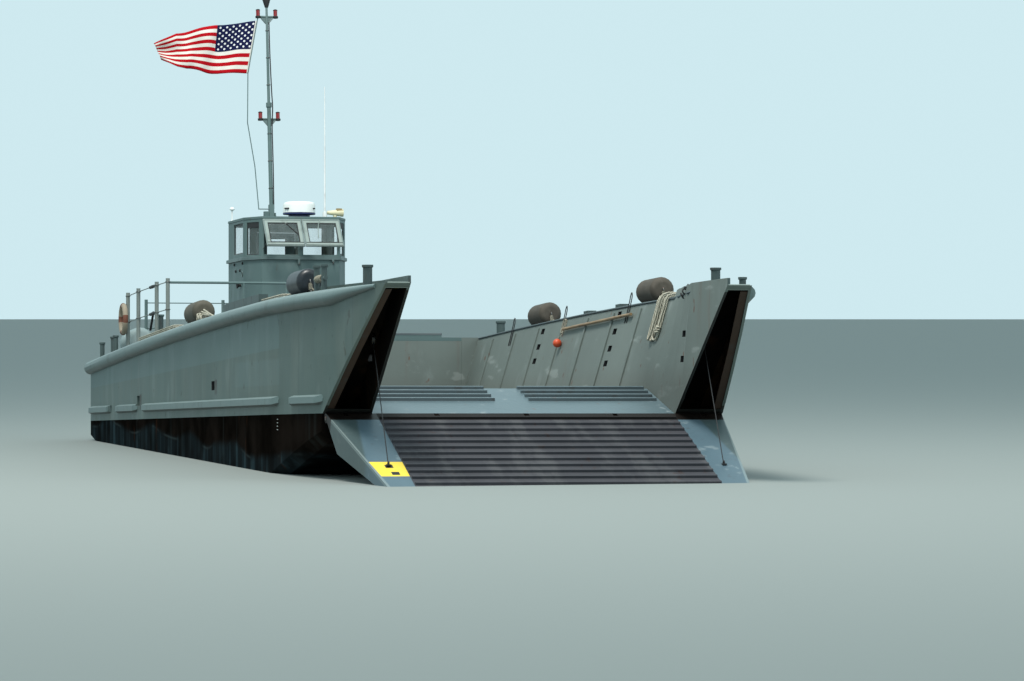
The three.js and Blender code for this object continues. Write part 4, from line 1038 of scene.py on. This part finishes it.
# Black in the holes and the near-black pocket are painted shade; the rub strips take the rail's painted
# highlight and shade
HULL_SIDE = (
    ("pocket", in_pocket), ("black", in_hole), ("deck", on_deck), ("inner", in_well),
    ("ledge", plate_front), ("bitt", on_fittings), ("rail", on_rub_strip),
)
LOOKS = {
    "topside_port": ("topside", HULL_SIDE),
    "topside_starboard": ("topside", HULL_SIDE),
    "upper_rub_rail": ("rail", ()),
    "transom_plate": ("topside", ()),
    "after_deck": ("topside", (("deck", lambda p, n: n.z > 0.7),)),
    "well_bulkhead": ("inner", ()),
    "well_floor": ("deck", ()),
    "well_apron": ("wing", (
        ("beam", lambda p, n: p.x > 19.8 and n.x > 0.3),
        # Forward faces of the cleats in the dark cleat colour: painted shade
        ("cleat", lambda p, n: n.x > 0.5),
    )),
    "bow_ramp": ("ramp_coat", ()),
    "pilothouse_lower": ("topside", (
        ("cabin", inside_house), ("rail", lambda p, n: BELT - 0.065 < p.z < BELT + 0.002),
    )),
    "pilothouse_upper": ("topside", (("cabin", inside_house), ("frame", in_window))),
    "window_port": ("frame", ()),
    "window_starboard": ("frame", ()),
    "helm_console": ("cabin", ()),
    "mast": ("topside", (
        ("red", lambda p, n: any(u + 0.02 < mast_height(p) < u + 0.15 for u in YARDS)
            and abs(p.y - MAST["y"]) > YARD_ARM - 0.05),
        ("black", lambda p, n: mast_height(p) > 4.155),
        ("black", lambda p, n: abs(p.y - MAST["y"]) < 0.2 and mast_height(p) > 3.95),
    )),
    "signal_horn": ("cream", (("driver", lambda p, n: 0.69 < p.y < 0.81 and p.z > ROOF_TOP + 0.12),)),
    "radome": ("radome", ()),
    "fender_starboard_bow": ("fender_black", ()),
    "fender_starboard_quarter": ("fender_blue", ()),
    "fender_port_mid": ("fender_brown", ()),
    "fender_port_bow": ("fender_brown", ()),
    "life_ring": ("bands", ()),
    "guard_rail": ("post", ()),
}
# Nodes in whose stead a piece of its own is made
REPLACED = ("deck_rope", "bow_line", "rope_hank", "bunched_line", "flag")


SLOTS = {part["node"]: part["material_slot"] for part in frame["record"]["subparts"]}
for name in frame["nodes"]:
    if name not in REPLACED:
        dress(name, *LOOKS.get(name, (SLOTS[name], ())))


# Ropes


def half_turn(start, end, out, steps=10):
    """Places on a half turn between two runs, bulging outwards."""
    middle = (Vector(start) + Vector(end)) / 2
    half = (Vector(start) - Vector(end)) / 2
    bulge = Vector(out).normalized() * half.length
    angles = [math.pi * i / steps for i in range(1, steps)]
    return [middle + half * math.cos(a) + bulge * math.sin(a) for a in angles]


def wrapped(name, start, end, round_bar, thick, turns):
    """Rope wound tight about a bar."""
    a, b = Vector(start), Vector(end)
    along = (b - a).normalized()
    side = along.orthogonal().normalized()
    other = along.cross(side)
    steps = turns * 14
    places = []
    for i in range(steps + 1):
        turn = 2 * math.pi * turns * i / steps
        about = side * math.cos(turn) + other * math.sin(turn)
        places.append(a + (b - a) * (i / steps) + about * round_bar)
    return drawn(name, places, thick / 2)


def stopper_knot(name, last, end, thick):
    """The rope's own end wound round it three times."""
    back = (end - last).normalized() * (thick * 3.3)
    return fitted(wrapped(name, end - back, end, thick, thick * 0.96, 3), "rope")


def lay_rope(name, places, thick, end="knot"):
    """A rope of that thickness along its places, put in the stead of its solid."""
    rope = fitted(drawn(name + "_laid", places, thick / 2, fine=2), "rope")
    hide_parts(name)
    path = [at(*p) for p in places]
    pieces = ()
    if end == "knot":
        pieces = [stopper_knot(name + "_knot", Vector(places[-2]), Vector(places[-1]), thick)]
    return rope


def flaked(name, thick, y, aft, fore, rounds):
    """A rope in long flat turns on the side deck; each round is a half width and a height."""
    def place(x, side, up):
        return Vector((x, y + side, deck_at(x) + up))

    ahead = [aft + (fore - aft) * i / 9 for i in range(10)]
    first, up = rounds[0]
    start = ((0.18, 0), (0.26, -0.1), (0.45, -0.9))
    places = [place(aft + far, share * first, up) for far, share in start]
    ahead_now = [x for x in ahead if x > aft + 0.5]
    for i, (half, up) in enumerate(rounds):
        places += [place(x, -half, up) for x in ahead_now]
        places += half_turn(place(fore, -half, up), place(fore, half, up), (1, 0, 0))
        if i == len(rounds) - 1:
            places += [place(x, half, up) for x in reversed(ahead[4:])]
        else:
            beyond, above = rounds[i + 1]
            places += [place(x, half, up) for x in reversed(ahead)]
            places += half_turn(place(aft, half, up), place(aft, -beyond, above), (-1, 0, 0))
            ahead_now = ahead
    return lay_rope(name, places, thick)


def on_wall(x, z, off, side=1):
    """A place off the well's leaning wall, square to it."""
    return Vector((x, side * (wall_at(x, z) - off * LEAN_COS), z + off * LEAN_SIN))


def hung_rope():
    """A doubled rope over the edge of the port side deck, down the inner wall."""
    thick = 0.032
    columns = (17.84, 18.04, 18.24)
    runs = ((0, 0), (1, 0), (2, 0), (1, 1), (0, 1), (1, 2), (2, 1))

    def place(x, far, off):
        """Over the deck for a distance above 0, on the wall for one below."""
        deck = deck_at(x)
        edge = wall_at(x, deck)
        if far > 0:
            return Vector((x, edge + far, deck + off))
        if far == 0:
            return Vector((x, edge - 0.64 * off, deck + 0.8 * off))
        return on_wall(x, deck + far * LEAN_COS, off)

    def run(x, layer):
        near = 0.0175 + 0.031 * layer
        down = [place(x, far, near) for far in (-0.55, -0.40, -0.25, -0.13)]
        over = [place(x, -0.05, near + 0.008), place(x, 0, near + 0.006), place(x, 0.05, near + 0.006)]
        return [*down, *over]

    x = columns[0]
    deck = deck_at(x)
    edge = wall_at(x, deck)
    tail = ((18.02, 0.168, 0.03), (17.96, 0.13, 0.024), (17.88, 0.09, 0.022))
    places = [Vector((far, edge + out, deck + up)) for far, out, up in tail]
    down = (0, -LEAN_SIN, -LEAN_COS)
    for i, (column, layer) in enumerate(runs):
        line = run(columns[column], layer)
        if i % 2 == 0:
            line.reverse()
        if i:
            places += half_turn(places[-1], line[0], down if i % 2 else (0, 1, 0), 12)
        places += line
    return lay_rope("rope_hank", smoothed(places), thick)


def smoothed(places):
    """The same line, its corners between straight and turn eased a little."""
    middle = [(a + 6 * b + c) / 8 for a, b, c in zip(places, places[1:], places[2:])]
    return [places[0], *middle, places[-1]]


def bunched_rope():
    """Thin line doubled up and down the port inner wall, its tail made fast to the float."""
    thick = 0.011
    columns = (12.448, 12.515, 12.582)
    order = (0, 1, 2, 1, 0, 1, 2, 1, 2)
    layers = (0, 0, 0, 1, 1, 2, 1, 3, 2)
    places = [on_wall(12.44, 3.07, 0.006), on_wall(12.443, 3.05, 0.007)]
    for i, (column, layer) in enumerate(zip(order, layers)):
        off = 0.0065 + 0.0135 * layer
        line = [on_wall(columns[column], z, off) for z in (3.03, 2.98, 2.93, 2.88)]
        if i % 2:
            line.reverse()
        if i:
            way = -1 if i % 2 else 1
            out = (0, way * LEAN_SIN, way * LEAN_COS)
            places += half_turn(places[-1], line[0], out, 12)
        places += line
    ball = Vector((12.62, wall_at(12.62, 2.69) - 0.0703 * 1.044, 2.69))
    tail = [places[-1], on_wall(12.6, 2.84, 0.028), on_wall(12.615, 2.80, 0.045),
            ball + Vector((0, 0, 0.074))]
    places += curved(tail, 5)[1:]
    return lay_rope("bunched_line", places, thick, "object")


FLAKED = (
    ("deck_rope", 0.026, -2.98, 5.13, 8.57, (
        (0.055, 0.014), (0.086, 0.014), (0.086, 0.041), (0.055, 0.041), (0.055, 0.068), (0.086, 0.068),
    )),
    ("bow_line", 0.024, -2.88, 15.61, 17.14, ((0.06, 0.013), (0.066, 0.038), (0.07, 0.063))),
)
for flake in FLAKED:
    flaked(*flake)
hung_rope()
bunched_rope()


# Windows


def on_frame(side, down, y, out=0.0):
    """A place on a hung front window: down its frame, across from its middle and off its face."""
    cos, sin = math.cos(WINDOW_SWING), math.sin(WINDOW_SWING)
    x, z = WINDOW_HINGE
    return (x + down * sin + out * cos, side * WINDOW_MIDDLE + y, z - down * cos + out * sin)


def glaze(name, corners, body="hull"):
    """A pane in its rubber bead."""
    fitted(plate(name, corners, 0.006), "glass", body)
    fitted(surround(name + "_bead", corners, 0.018, 0.016), "black", body)


def spanned(x0, x1, y0, y1, low, high):
    """Corners of an upright pane between two places."""
    return [(x0, y0, low), (x1, y1, low), (x1, y1, high), (x0, y0, high)]


def glaze_house():
    """Panes in the window frames, and a dark blind at the head of each corner window."""
    for side, word in SIDES:
        light = [on_frame(side, down, y) for down, y in
                 ((0.073, -0.267), (0.073, 0.267), (0.542, 0.267), (0.542, -0.267))]
        glaze("front_glass_" + word, light)
        y = side * (HOUSE["half"] - 0.02)
        glaze("side_glass_" + word, spanned(2.428, 3.292, y, y, SILL + 0.038, HEAD + 0.002))
        ahead, inward = HOUSE["front"] - HOUSE["chamfer"], HOUSE["half"] - HOUSE["half_front"]
        share = 0.201 / math.hypot(ahead, inward)
        dx, dy = ahead * share, -side * inward * share
        x = (HOUSE["front"] + HOUSE["chamfer"]) / 2 - 0.007
        y = side * ((HOUSE["half"] + HOUSE["half_front"]) / 2 - 0.019)
        ends = (x - dx, x + dx, y - dy, y + dy)
        glaze("corner_glass_" + word, spanned(*ends, SILL - 0.002, HEAD + 0.002))
        blind = plate("corner_blind_" + word, spanned(*ends, HEAD - 0.10, HEAD), 0.02)
        fitted(blind, "black")
    back = HOUSE["aft"] + 0.02
    for word, y0, y1 in (("starboard", -0.802, -0.518), ("port", 0.418, 0.802)):
        glaze("back_glass_" + word, spanned(back, back, y0, y1, SILL - 0.002, HEAD + 0.002))
    glaze("door_glass", spanned(back, back, -0.232, 0.132, 4.448, 4.802), "door")


def bar(name, start, end, radius, finish="steel"):
    return fitted(rod(name, start, end, radius, 10), finish)


def furnish_windows():
    """Stays that hold the front windows out, a wiper, rails and the fittings round the house."""
    for side, word in SIDES:
        for edge in (-0.325, 0.325):
            name = f"window_stay_{word}_{'inner' if edge * side < 0 else 'outer'}"
            bar(name, (3.925, side * WINDOW_MIDDLE + edge, 4.52), on_frame(side, 0.52, edge), 0.006)
        for down, name in ((0.553, "upper"), (0.612, "lower")):
            low, high = on_frame(side, down, -0.33, 0.02), on_frame(side, down, 0.33, 0.02)
            bar(f"window_rail_{word}_{name}", low, high, 0.005, "black")
        rim = [on_frame(side, down, y, 0.019) for down, y in
               ((0.012, -0.333), (0.012, 0.333), (0.62, 0.333), (0.62, -0.333))]
        strip = surround("window_strip_" + word, rim, 0.012, 0.008, 0.002)
        fitted(strip, "rail")
    bar("window_stay_rod", (3.965, -0.31, 5.0), (4.19, -0.09, 4.76), 0.010, "black")
    bar("window_stay_tip", (3.963, -0.313, 5.003), (4.0, -0.277, 4.965), 0.014, "frame")
    arm = rod("wiper_arm", on_frame(1, 0.01, -0.02, 0.024), on_frame(1, 0.2, -0.07, 0.024), 0.006)
    blade = rod("wiper_blade", on_frame(1, 0.2, -0.07, 0.022), on_frame(1, 0.44, -0.095, 0.016), 0.008)
    fitted(joined("wiper", [arm, blade]), "frame")
    brackets = ((-0.039, 0.15), (0.57, 0.10))
    for i, (y, tall) in enumerate(brackets):
        low, high = (3.918, y - 0.02, 4.40 - tall), (3.968, y + 0.02, 4.34)
        clip = block(f"front_bracket_{i}", low, high, 0.004)
        fitted(clip, "rail")
        eye = hoop(f"bracket_ring_{i}", (3.972, y, 4.33 - tall * 0.5), (0, 1, 0), 0.026, 0.006, 16)
        fitted(eye, "steel")
    half = HOUSE["half"]
    rings = [(0.024, -0.004), (0.024, 0.018), (0.012, 0.026)]
    for i, (x, z) in enumerate(((2.52, 4.29), (2.66, 4.17), (3.05, 4.17), (3.30, 4.29))):
        knob = grown(f"side_knob_{i}", (x, -half, z), (0, -1, 0), rings, 14)
        fitted(knob, "black")
    horn = [(0.03, -0.004), (0.03, 0.03), (0.058, 0.06), (0.062, 0.075), (0.045, 0.07), (0.02, 0.035)]
    fitted(grown("side_lamp", (3.10, -half, 3.91), (0, -1, 0), horn, 24), "black")
    ring = hoop("side_ring", (3.25, -half - 0.006, 4.10), (0, 1, 0), 0.045, 0.006, 24)
    fitted(ring, "rail")
    rings = [(0.012, -0.004), (0.012, 0.006), (0.006, 0.010)]
    for side, word in reversed(SIDES):
        rows = [(x, side * (half + 0.002), z) for x in (2.0, 2.7, 3.2) for z in (3.4, 3.9)]
        studs = [grown("stud", place, (0, side, 0), rings, 8) for place in rows]
        fitted(joined("house_studs_" + word, studs), "topside")


glaze_house()
furnish_windows()


# Flag


def flag_cloth():
    """The cloth between its edges in the mast's frame, streaming to starboard with folds in it."""
    bpy.ops.mesh.primitive_grid_add(x_subdivisions=60, y_subdivisions=28, size=2)
    cloth = named("flag_cloth")
    top = [(0.0, -0.178, 3.585), (0.42, -0.95, 3.475), (0.6, -1.28, 3.40), (0.8, -1.669, 3.335),
           (1.0, -2.086, 3.104)]
    foot = [(0.0, -0.371, 2.605), (0.35, -0.93, 2.60), (0.7, -1.50, 2.655), (1.0, -1.948, 2.841)]

    def along(line, u):
        for (a, ya, za), (b, yb, zb) in zip(line, line[1:]):
            if u <= b:
                share = (u - a) / (b - a)
                return ya + (yb - ya) * share, za + (zb - za) * share
        return line[-1][1:]

    for vertex in cloth.data.vertices:
        u, v = (vertex.co.x + 1) / 2, (vertex.co.y + 1) / 2
        (y0, z0), (y1, z1) = along(foot, u), along(top, u)
        loose = min(1, u * 2.5)
        wave = 0.034 * math.sin(2 * math.pi * (1.7 * u + 0.55 * v))
        wave += 0.022 * math.sin(2 * math.pi * (3.4 * u - 0.9 * v) + 1)
        ripple = 0.010 * math.sin(2 * math.pi * (5.5 * u + 0.3) + 4 * v)
        curl = 0.02 * math.sin(math.pi * v * 3) * u
        y = y0 + (y1 - y0) * v
        z = z0 + (z1 - z0) * v + loose * 0.018 * math.sin(2 * math.pi * (2 * u + 0.2 * v))
        vertex.co = at(*on_mast(loose * (wave + ripple + curl), y, z))
    cloth.data.update()
    smooth(cloth, 80)
    modify(cloth, "SOLIDIFY", thickness=0.0015, offset=0)
    fitted(cloth, "flag", "mast", ["flag"])


flag_cloth()


# Gear on the mast


def rig_mast():
    """Gussets and lamp mounts at the yards, and a lead down the pole held by clips."""
    made = []
    for up in YARDS:
        for side in (-1, 1):
            foot, tip = (0, side * 0.02, up - 0.13), (0, side * 0.12, up - 0.012)
            made.append(rod("gusset", on_mast(*foot), on_mast(*tip), 0.011, 8))
    for up in YARDS:
        corners = ((0, up - 0.14), (0.12, up - 0.01), (-0.12, up - 0.01), (0, up - 0.14))
        made.append(plate("web", [on_mast(0, y, z) for y, z in corners], 0.006))
    fitted(joined("yard_gussets", made), "rail", "mast")
    discs = []
    foot_rings = [(0.046, 0), (0.05, 0.008), (0.05, 0.03), (0.04, 0.036)]
    cap_rings = [(0.04, 0), (0.04, 0.012), (0.022, 0.022)]
    for up in YARDS:
        for side in (-1, 1):
            for rise, rings in ((-0.025, foot_rings), (0.115, cap_rings)):
                place = on_mast(0, side * YARD_ARM, up + rise)
                discs.append(grown("disc", place, MAST_UP, rings, 16))
    fitted(joined("lamp_mounts", discs), "black", "mast")
    lead = [(0.03, 0.040, 0.12), (0.035, 0.046, 0.9), (0.032, 0.045, 1.6), (0.040, 0.060, 1.98),
            (0.034, 0.050, 2.3), (0.030, 0.035, 3.0), (0.030, 0.032, 3.55)]
    line = [on_mast(*place) for place in curved(lead, 5)]
    fitted(drawn("mast_lead", line, 0.011), "black", "mast")
    girths = ((0.5, 0.040), (1.0, 0.040), (1.5, 0.040), (2.4, 0.034), (2.9, 0.032), (3.4, 0.030))
    clips = [hoop("clip", on_mast(0, 0, z), MAST_UP, radius, 0.006, 16) for z, radius in girths]
    fitted(joined("mast_clips", clips), "steel", "mast")


def masthead():
    """The black shade at the head of the mast."""
    rings = [(0.030, 3.83), (0.034, 3.84), (0.075, 3.98), (0.078, 4.09), (0.060, 4.12)]
    cone = grown("masthead_shade", on_mast(0, 0, 0), MAST_UP, rings, 24)
    fitted(cone, "black", "mast")


rig_mast()
masthead()


# Gear on the roof, decks, rails and bow


def dress_roof():
    """Vents round the radome's foot, and its lead across the roof."""
    vents = []
    for turn in (-1.15, -0.95, 0.9, 2.2, 4.0):
        x, y = RADOME[0] + 0.292 * math.cos(turn), RADOME[1] + 0.292 * math.sin(turn)
        low, high = (x - 0.02, y - 0.02, ROOF_TOP + 0.150), (x + 0.02, y + 0.02, ROOF_TOP + 0.172)
        vents.append(block("vent", low, high))
    fitted(joined("radome_vents", vents), "black")
    ways = ((RADOME[0], -0.1), (3.2, -0.28), (2.6, -0.3), (2.1, -0.26))
    lead = [(x, y, ROOF_TOP + 0.012) for x, y in ways]
    fitted(drawn("roof_lead", curved(lead, 5), 0.010), "black")


def dress_rails():
    """Sleeves on the guard wires, a strut, and a turn of wire about each post."""
    sleeves = []
    for drop in WIRE_DROPS:
        aft, fore = (
            Vector((x, GUARD_Y, deck_at(x) + high - drop)) for x, high in GUARD_POSTS[1:3]
        )
        wire = fore - aft
        foot = aft + wire * 0.60
        rings = [(0.010, 0), (0.026, 0.10), (0.030, 0.30), (0.026, 0.55), (0.016, 0.70)]
        sleeves.append(grown("sleeve", foot, wire, rings, 14))
    fitted(joined("wire_sleeves", sleeves), "black")
    bar("rail_strut", (5.02, GUARD_Y, 3.37), (4.70, GUARD_Y, 3.07), 0.021, "black")
    turns = []
    for x, high in GUARD_POSTS:
        for drop in WIRE_DROPS:
            z = deck_at(x) + high - drop
            turns.append(hoop("turn", (x, GUARD_Y, z), (0, 0, 1), 0.040, 0.007, 16))
    fitted(joined("wire_turns", turns), "steel")


def lash_fenders():
    """Each fender is held at its ends by short tight lashings to eyes on the deck."""
    for name in ("starboard_mid", "starboard_bow", "starboard_quarter", "port_mid", "port_bow"):
        low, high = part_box("fender_" + name)
        middle = (low + high) / 2 - at(0, 0, 0)
        half = (high.x - low.x) / 2
        eyes, ties = [], []
        for end in (-1, 1):
            x = middle.x + end * half
            deck = deck_at(x)
            eye, strap = (x + end * 0.05, middle.y, deck + 0.03), (x - end * 0.012, middle.y, middle.z)
            eyes.append(hoop("eye", eye, (0, 1, 0), 0.035, 0.009, 16))
            eyes.append(hoop("strap", strap, (0, 1, 0), 0.035, 0.010, 16))
            top = Vector((x + end * 0.02, middle.y, middle.z - 0.03))
            foot = Vector((x + end * 0.05, middle.y, deck + 0.06))
            ties.append(wrapped("tie", foot, top, 0.020, 0.020, 5))
            ways = ((0, 0.02, 0.03), (0.05, 0.05, -0.01), (0.12, 0.08, -0.038), (0.22, 0.06, -0.042))
            tail = [foot + Vector((end * far, aside, up)) for far, aside, up in ways]
            ties.append(drawn("tail", curved(tail, 5), 0.010))
        fitted(joined("fender_eyes_" + name, eyes), "steel")
        fitted(joined("fender_lashing_" + name, ties), "old_rope")


def spring_rope():
    """Rope run forward from the middle starboard fender, with loops of it heaped at its end."""
    low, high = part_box("fender_starboard_mid")
    x, y, level = high.x - STERN, (low.y + high.y) / 2, (low.z + high.z) / 2
    far = Vector((x + 1.25, -2.95, deck_at(x + 1.25) + 0.03))
    made = []
    for i in range(3):
        start = Vector((x - 0.10 + 0.03 * i, y - 0.04 * i, level + 0.05 - 0.035 * i))
        end = far + Vector((0.05 * i, 0.03 * i, 0))
        made.append(drawn("strand", curved([start, (start * 2 + far) / 3, end], 5), 0.016))
    for i in range(5):
        odd = i % 2
        place = (x + 0.02 + 0.09 * i, y - 0.10 - 0.01 * odd, deck_at(x) + 0.06 + 0.03 * odd)
        made.append(hoop("loop", place, (0.6, 1, 0.3 * (i % 3)), 0.055, 0.014, 18))
    fitted(joined("fender_spring", made), "rope")


def wrap_bitt():
    """Rope wound about the bar between the starboard bow's bitts."""
    start, end = (Vector((x, -2.8, deck_at(x) + 0.19)) for x in (18.99, 19.36))
    fitted(wrapped("bitt_wraps", start, end, 0.043, 0.026, 15), "old_rope")


def hoist_wires():
    """Wires from a sheave in each bow pocket to the ramp."""
    for side, word in SIDES:
        y = side * 2.38
        top, foot = (20.76, y, 2.50), on_ramp(1.86, y, 0.03)
        half = [(0.055, 0.004), (0.075, 0.012), (0.075, 0.020)]
        wheel = [(radius, -far) for radius, far in reversed(half)] + half
        sheave = grown("hoist_sheave_" + word, (20.70, y, 2.55), (0, 1, 0), wheel, 28)
        fitted(sheave, "steel")
        # The blocks take the pocket's near-black finish: painted shade
        cheeks = [block("cheek", (20.60, y + off - 0.006, 2.46), (20.80, y + off + 0.006, 2.66), 0.003)
                  for off in (-0.032, 0.032)]
        cheeks.append(block("hanger", (20.62, y - 0.05, 2.64), (20.78, y + 0.05, deck_at(20.7) - 0.05)))
        fitted(joined("sheave_block_" + word, cheeks), "pocket")
        eye = hoop("eye", on_ramp(1.90, y, 0.015), (0, 1, 0), 0.032, 0.010, 16)
        seat = Vector(on_ramp(1.90, y))
        pad = block("pad", seat - Vector((0.06, 0.03, 0.01)), seat + Vector((0.06, 0.03, 0.012)), 0.003)
        fitted(joined("hoist_eye_" + word, [eye, pad]), "black", "ramp")
        line = [Vector(top) + (Vector(foot) - Vector(top)) * (i / 30) for i in range(31)]
        wire = drawn("hoist_wire_" + word, line, 0.007)
        wire.data.materials.append(FINISH["black"])
        at(*top)
        at(*foot)
        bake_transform(wire)


def wall_gear():
    """Steps of round bar over the well's edge, and a shackle near the bow."""
    for i, x in enumerate((9.18, 12.44, 16.17)):
        deck = deck_at(x)
        edge = wall_at(x, deck)
        legs = [[on_wall(x + end * 0.05, deck - drop, off) for drop, off in ((0.28, 0.008), (0.15, 0.012))]
                for end in (-1, 1)]
        rise = ((-0.048, -0.01, 0.05), (-0.045, 0.005, 0.13), (0, 0.012, 0.18),
                (0.045, 0.005, 0.13), (0.048, -0.01, 0.05))
        arch = [Vector((x + far, edge + out, deck + up)) for far, out, up in rise]
        step = drawn(f"edge_loop_{i}", curved(legs[0] + arch + legs[1][::-1], 5), 0.008)
        fitted(step, "black")
    for side, word in SIDES:
        ahead = [WELL_AFT + 0.06] + [s for s in STATIONS if WELL_AFT < s < 20.6] + [20.6]
        line = [on_wall(x, deck_at(x) - 0.022, 0.006, side) for x in ahead]
        fitted(drawn("edge_bar_" + word, line, 0.016), "cleat")
    deck = deck_at(20.05)
    edge = wall_at(20.05, deck)
    bow = [hoop("bow", (20.05, edge + 0.02, deck + 0.05), (0.4, 1, 0.2), 0.055, 0.013, 18),
           hoop("link_a", (19.96, edge - 0.01, deck + 0.01), (1, 0.3, 0.4), 0.040, 0.011, 16),
           hoop("link_b", (19.90, edge - 0.035, deck - 0.05), (0.2, 1, 0.5), 0.040, 0.011, 16),
           rod("pin", (20.0, edge - 0.03, deck + 0.07), (20.11, edge + 0.06, deck + 0.05), 0.014)]
    fitted(joined("edge_shackle", bow), "black")
    rings = [(0.018, 0), (0.03, 0.02), (0.03, 0.07), (0.012, 0.09)]
    tag = grown("shackle_tag", (20.13, edge, deck + 0.028), (1, 0.2, 0), rings, 12)
    fitted(tag, "red")


def skin_at(node, x, z, side):
    """How far out a node's side lies at a station and height."""
    dressed = bpy.data.objects[node + "_dressed"]
    return dressed.ray_cast(at(x, side * 4, z), Vector((0, -side, 0)))[1].y


def hull_marks():
    """Draught ticks forward, and thin bars along the head of each bow pocket."""
    bpy.context.view_layer.update()
    marks_at = 17.5
    half = Vector((0.03, 0.004, 0.005))
    for side, word in SIDES:
        ticks = []
        for z in (1.31, 1.36, 1.41, 1.46):
            place = Vector((marks_at, skin_at("hull_bottom", marks_at, z, side), z))
            ticks.append(block("tick", place - half, place + half))
        fitted(joined("draught_ticks_" + word, ticks), "tick")
        bars = []
        for z in (3.275, 3.215):
            x = rake_x(z)
            y = side * (beam_at(min(x, LENGTH)) - 0.03)
            bars.append(rod("flange", (x - 0.012, side * 2.24, z), (x - 0.012, y, z), 0.009, 8))
        fitted(joined("pocket_bars_" + word, bars), "frame")
        strip = []
        for low, high in ((1.60, 2.4), (2.4, 3.19)):
            corners = [(rake_x(z) - 0.035, side * (beam_at(min(rake_x(z), LENGTH)) - far), z)
                       for z, far in ((low, 0.035), (low, 0.14), (high, 0.14), (high, 0.035))]
            strip.append(plate("flange", corners, 0.012))
        fitted(joined("pocket_flange_" + word, strip), "flange")


dress_roof()
dress_rails()
lash_fenders()
spring_rope()
wrap_bitt()
hoist_wires()
wall_gear()
hull_marks()


# Stage, light and camera


def stage_floor():
    """The floor lies where the water's plane is."""
    bpy.ops.mesh.primitive_circle_add(vertices=96, radius=900, fill_type="NGON")
    floor = aimed(named("floor"), WATER_NORMAL, WATER_NORMAL * WATER_OFF)
    floor.data.materials.append(studio_floor())


def lamp(name, place, size, watts, colour):
    bpy.ops.object.light_add(type="AREA", location=place)
    light = bpy.context.active_object
    light.name = name
    light.data.size = size
    light.data.energy = watts
    light.data.color = colour
    light.rotation_mode = "QUATERNION"
    light.rotation_quaternion = (Vector((0, 0, 1)) - Vector(place)).to_track_quat("-Z", "Y")


def soft_light():
    """An even pale sky, with one high lamp over the bow and a weaker one to port."""
    world = bpy.data.worlds.new("studio")
    bpy.context.scene.world = world
    world.use_nodes = True
    back = world.node_tree.nodes["Background"]
    back.inputs["Color"].default_value = rgb(0.69, 0.91, 0.965)
    back.inputs["Strength"].default_value = 0.90
    lamp("key", (16, -12, 44), 14, 22000, (1.0, 0.97, 0.92))
    lamp("fill", (38, 30, 26), 24, 5000, (0.92, 0.97, 1.0))


# The photograph's view: where the camera stands and its own axes
CAMERA = {
    "place": Vector((70.572, -15.751, 1.103)),
    "forward": Vector((-0.96968529, 0.24329603, 0.0227484)),
    "up": Vector((0.02244598, -0.00401547, 0.99973999)),
    "lens": 159.28,
}


def photo_camera():
    bpy.ops.object.camera_add()
    camera = bpy.context.active_object
    back = -CAMERA["forward"]
    right = CAMERA["up"].cross(back).normalized()
    turn = Matrix((right, back.cross(right), back)).transposed().to_4x4()
    camera.matrix_world = Matrix.Translation(CAMERA["place"]) @ turn
    camera.data.lens = CAMERA["lens"]
    camera.data.sensor_width = 36
    camera.data.sensor_fit = "HORIZONTAL"
    camera.data.clip_start = 0.5
    camera.data.clip_end = 2000
    bpy.context.scene.camera = camera


stage_floor()
soft_light()
photo_camera()
bpy.context.scene.view_settings.view_transform = "Standard"
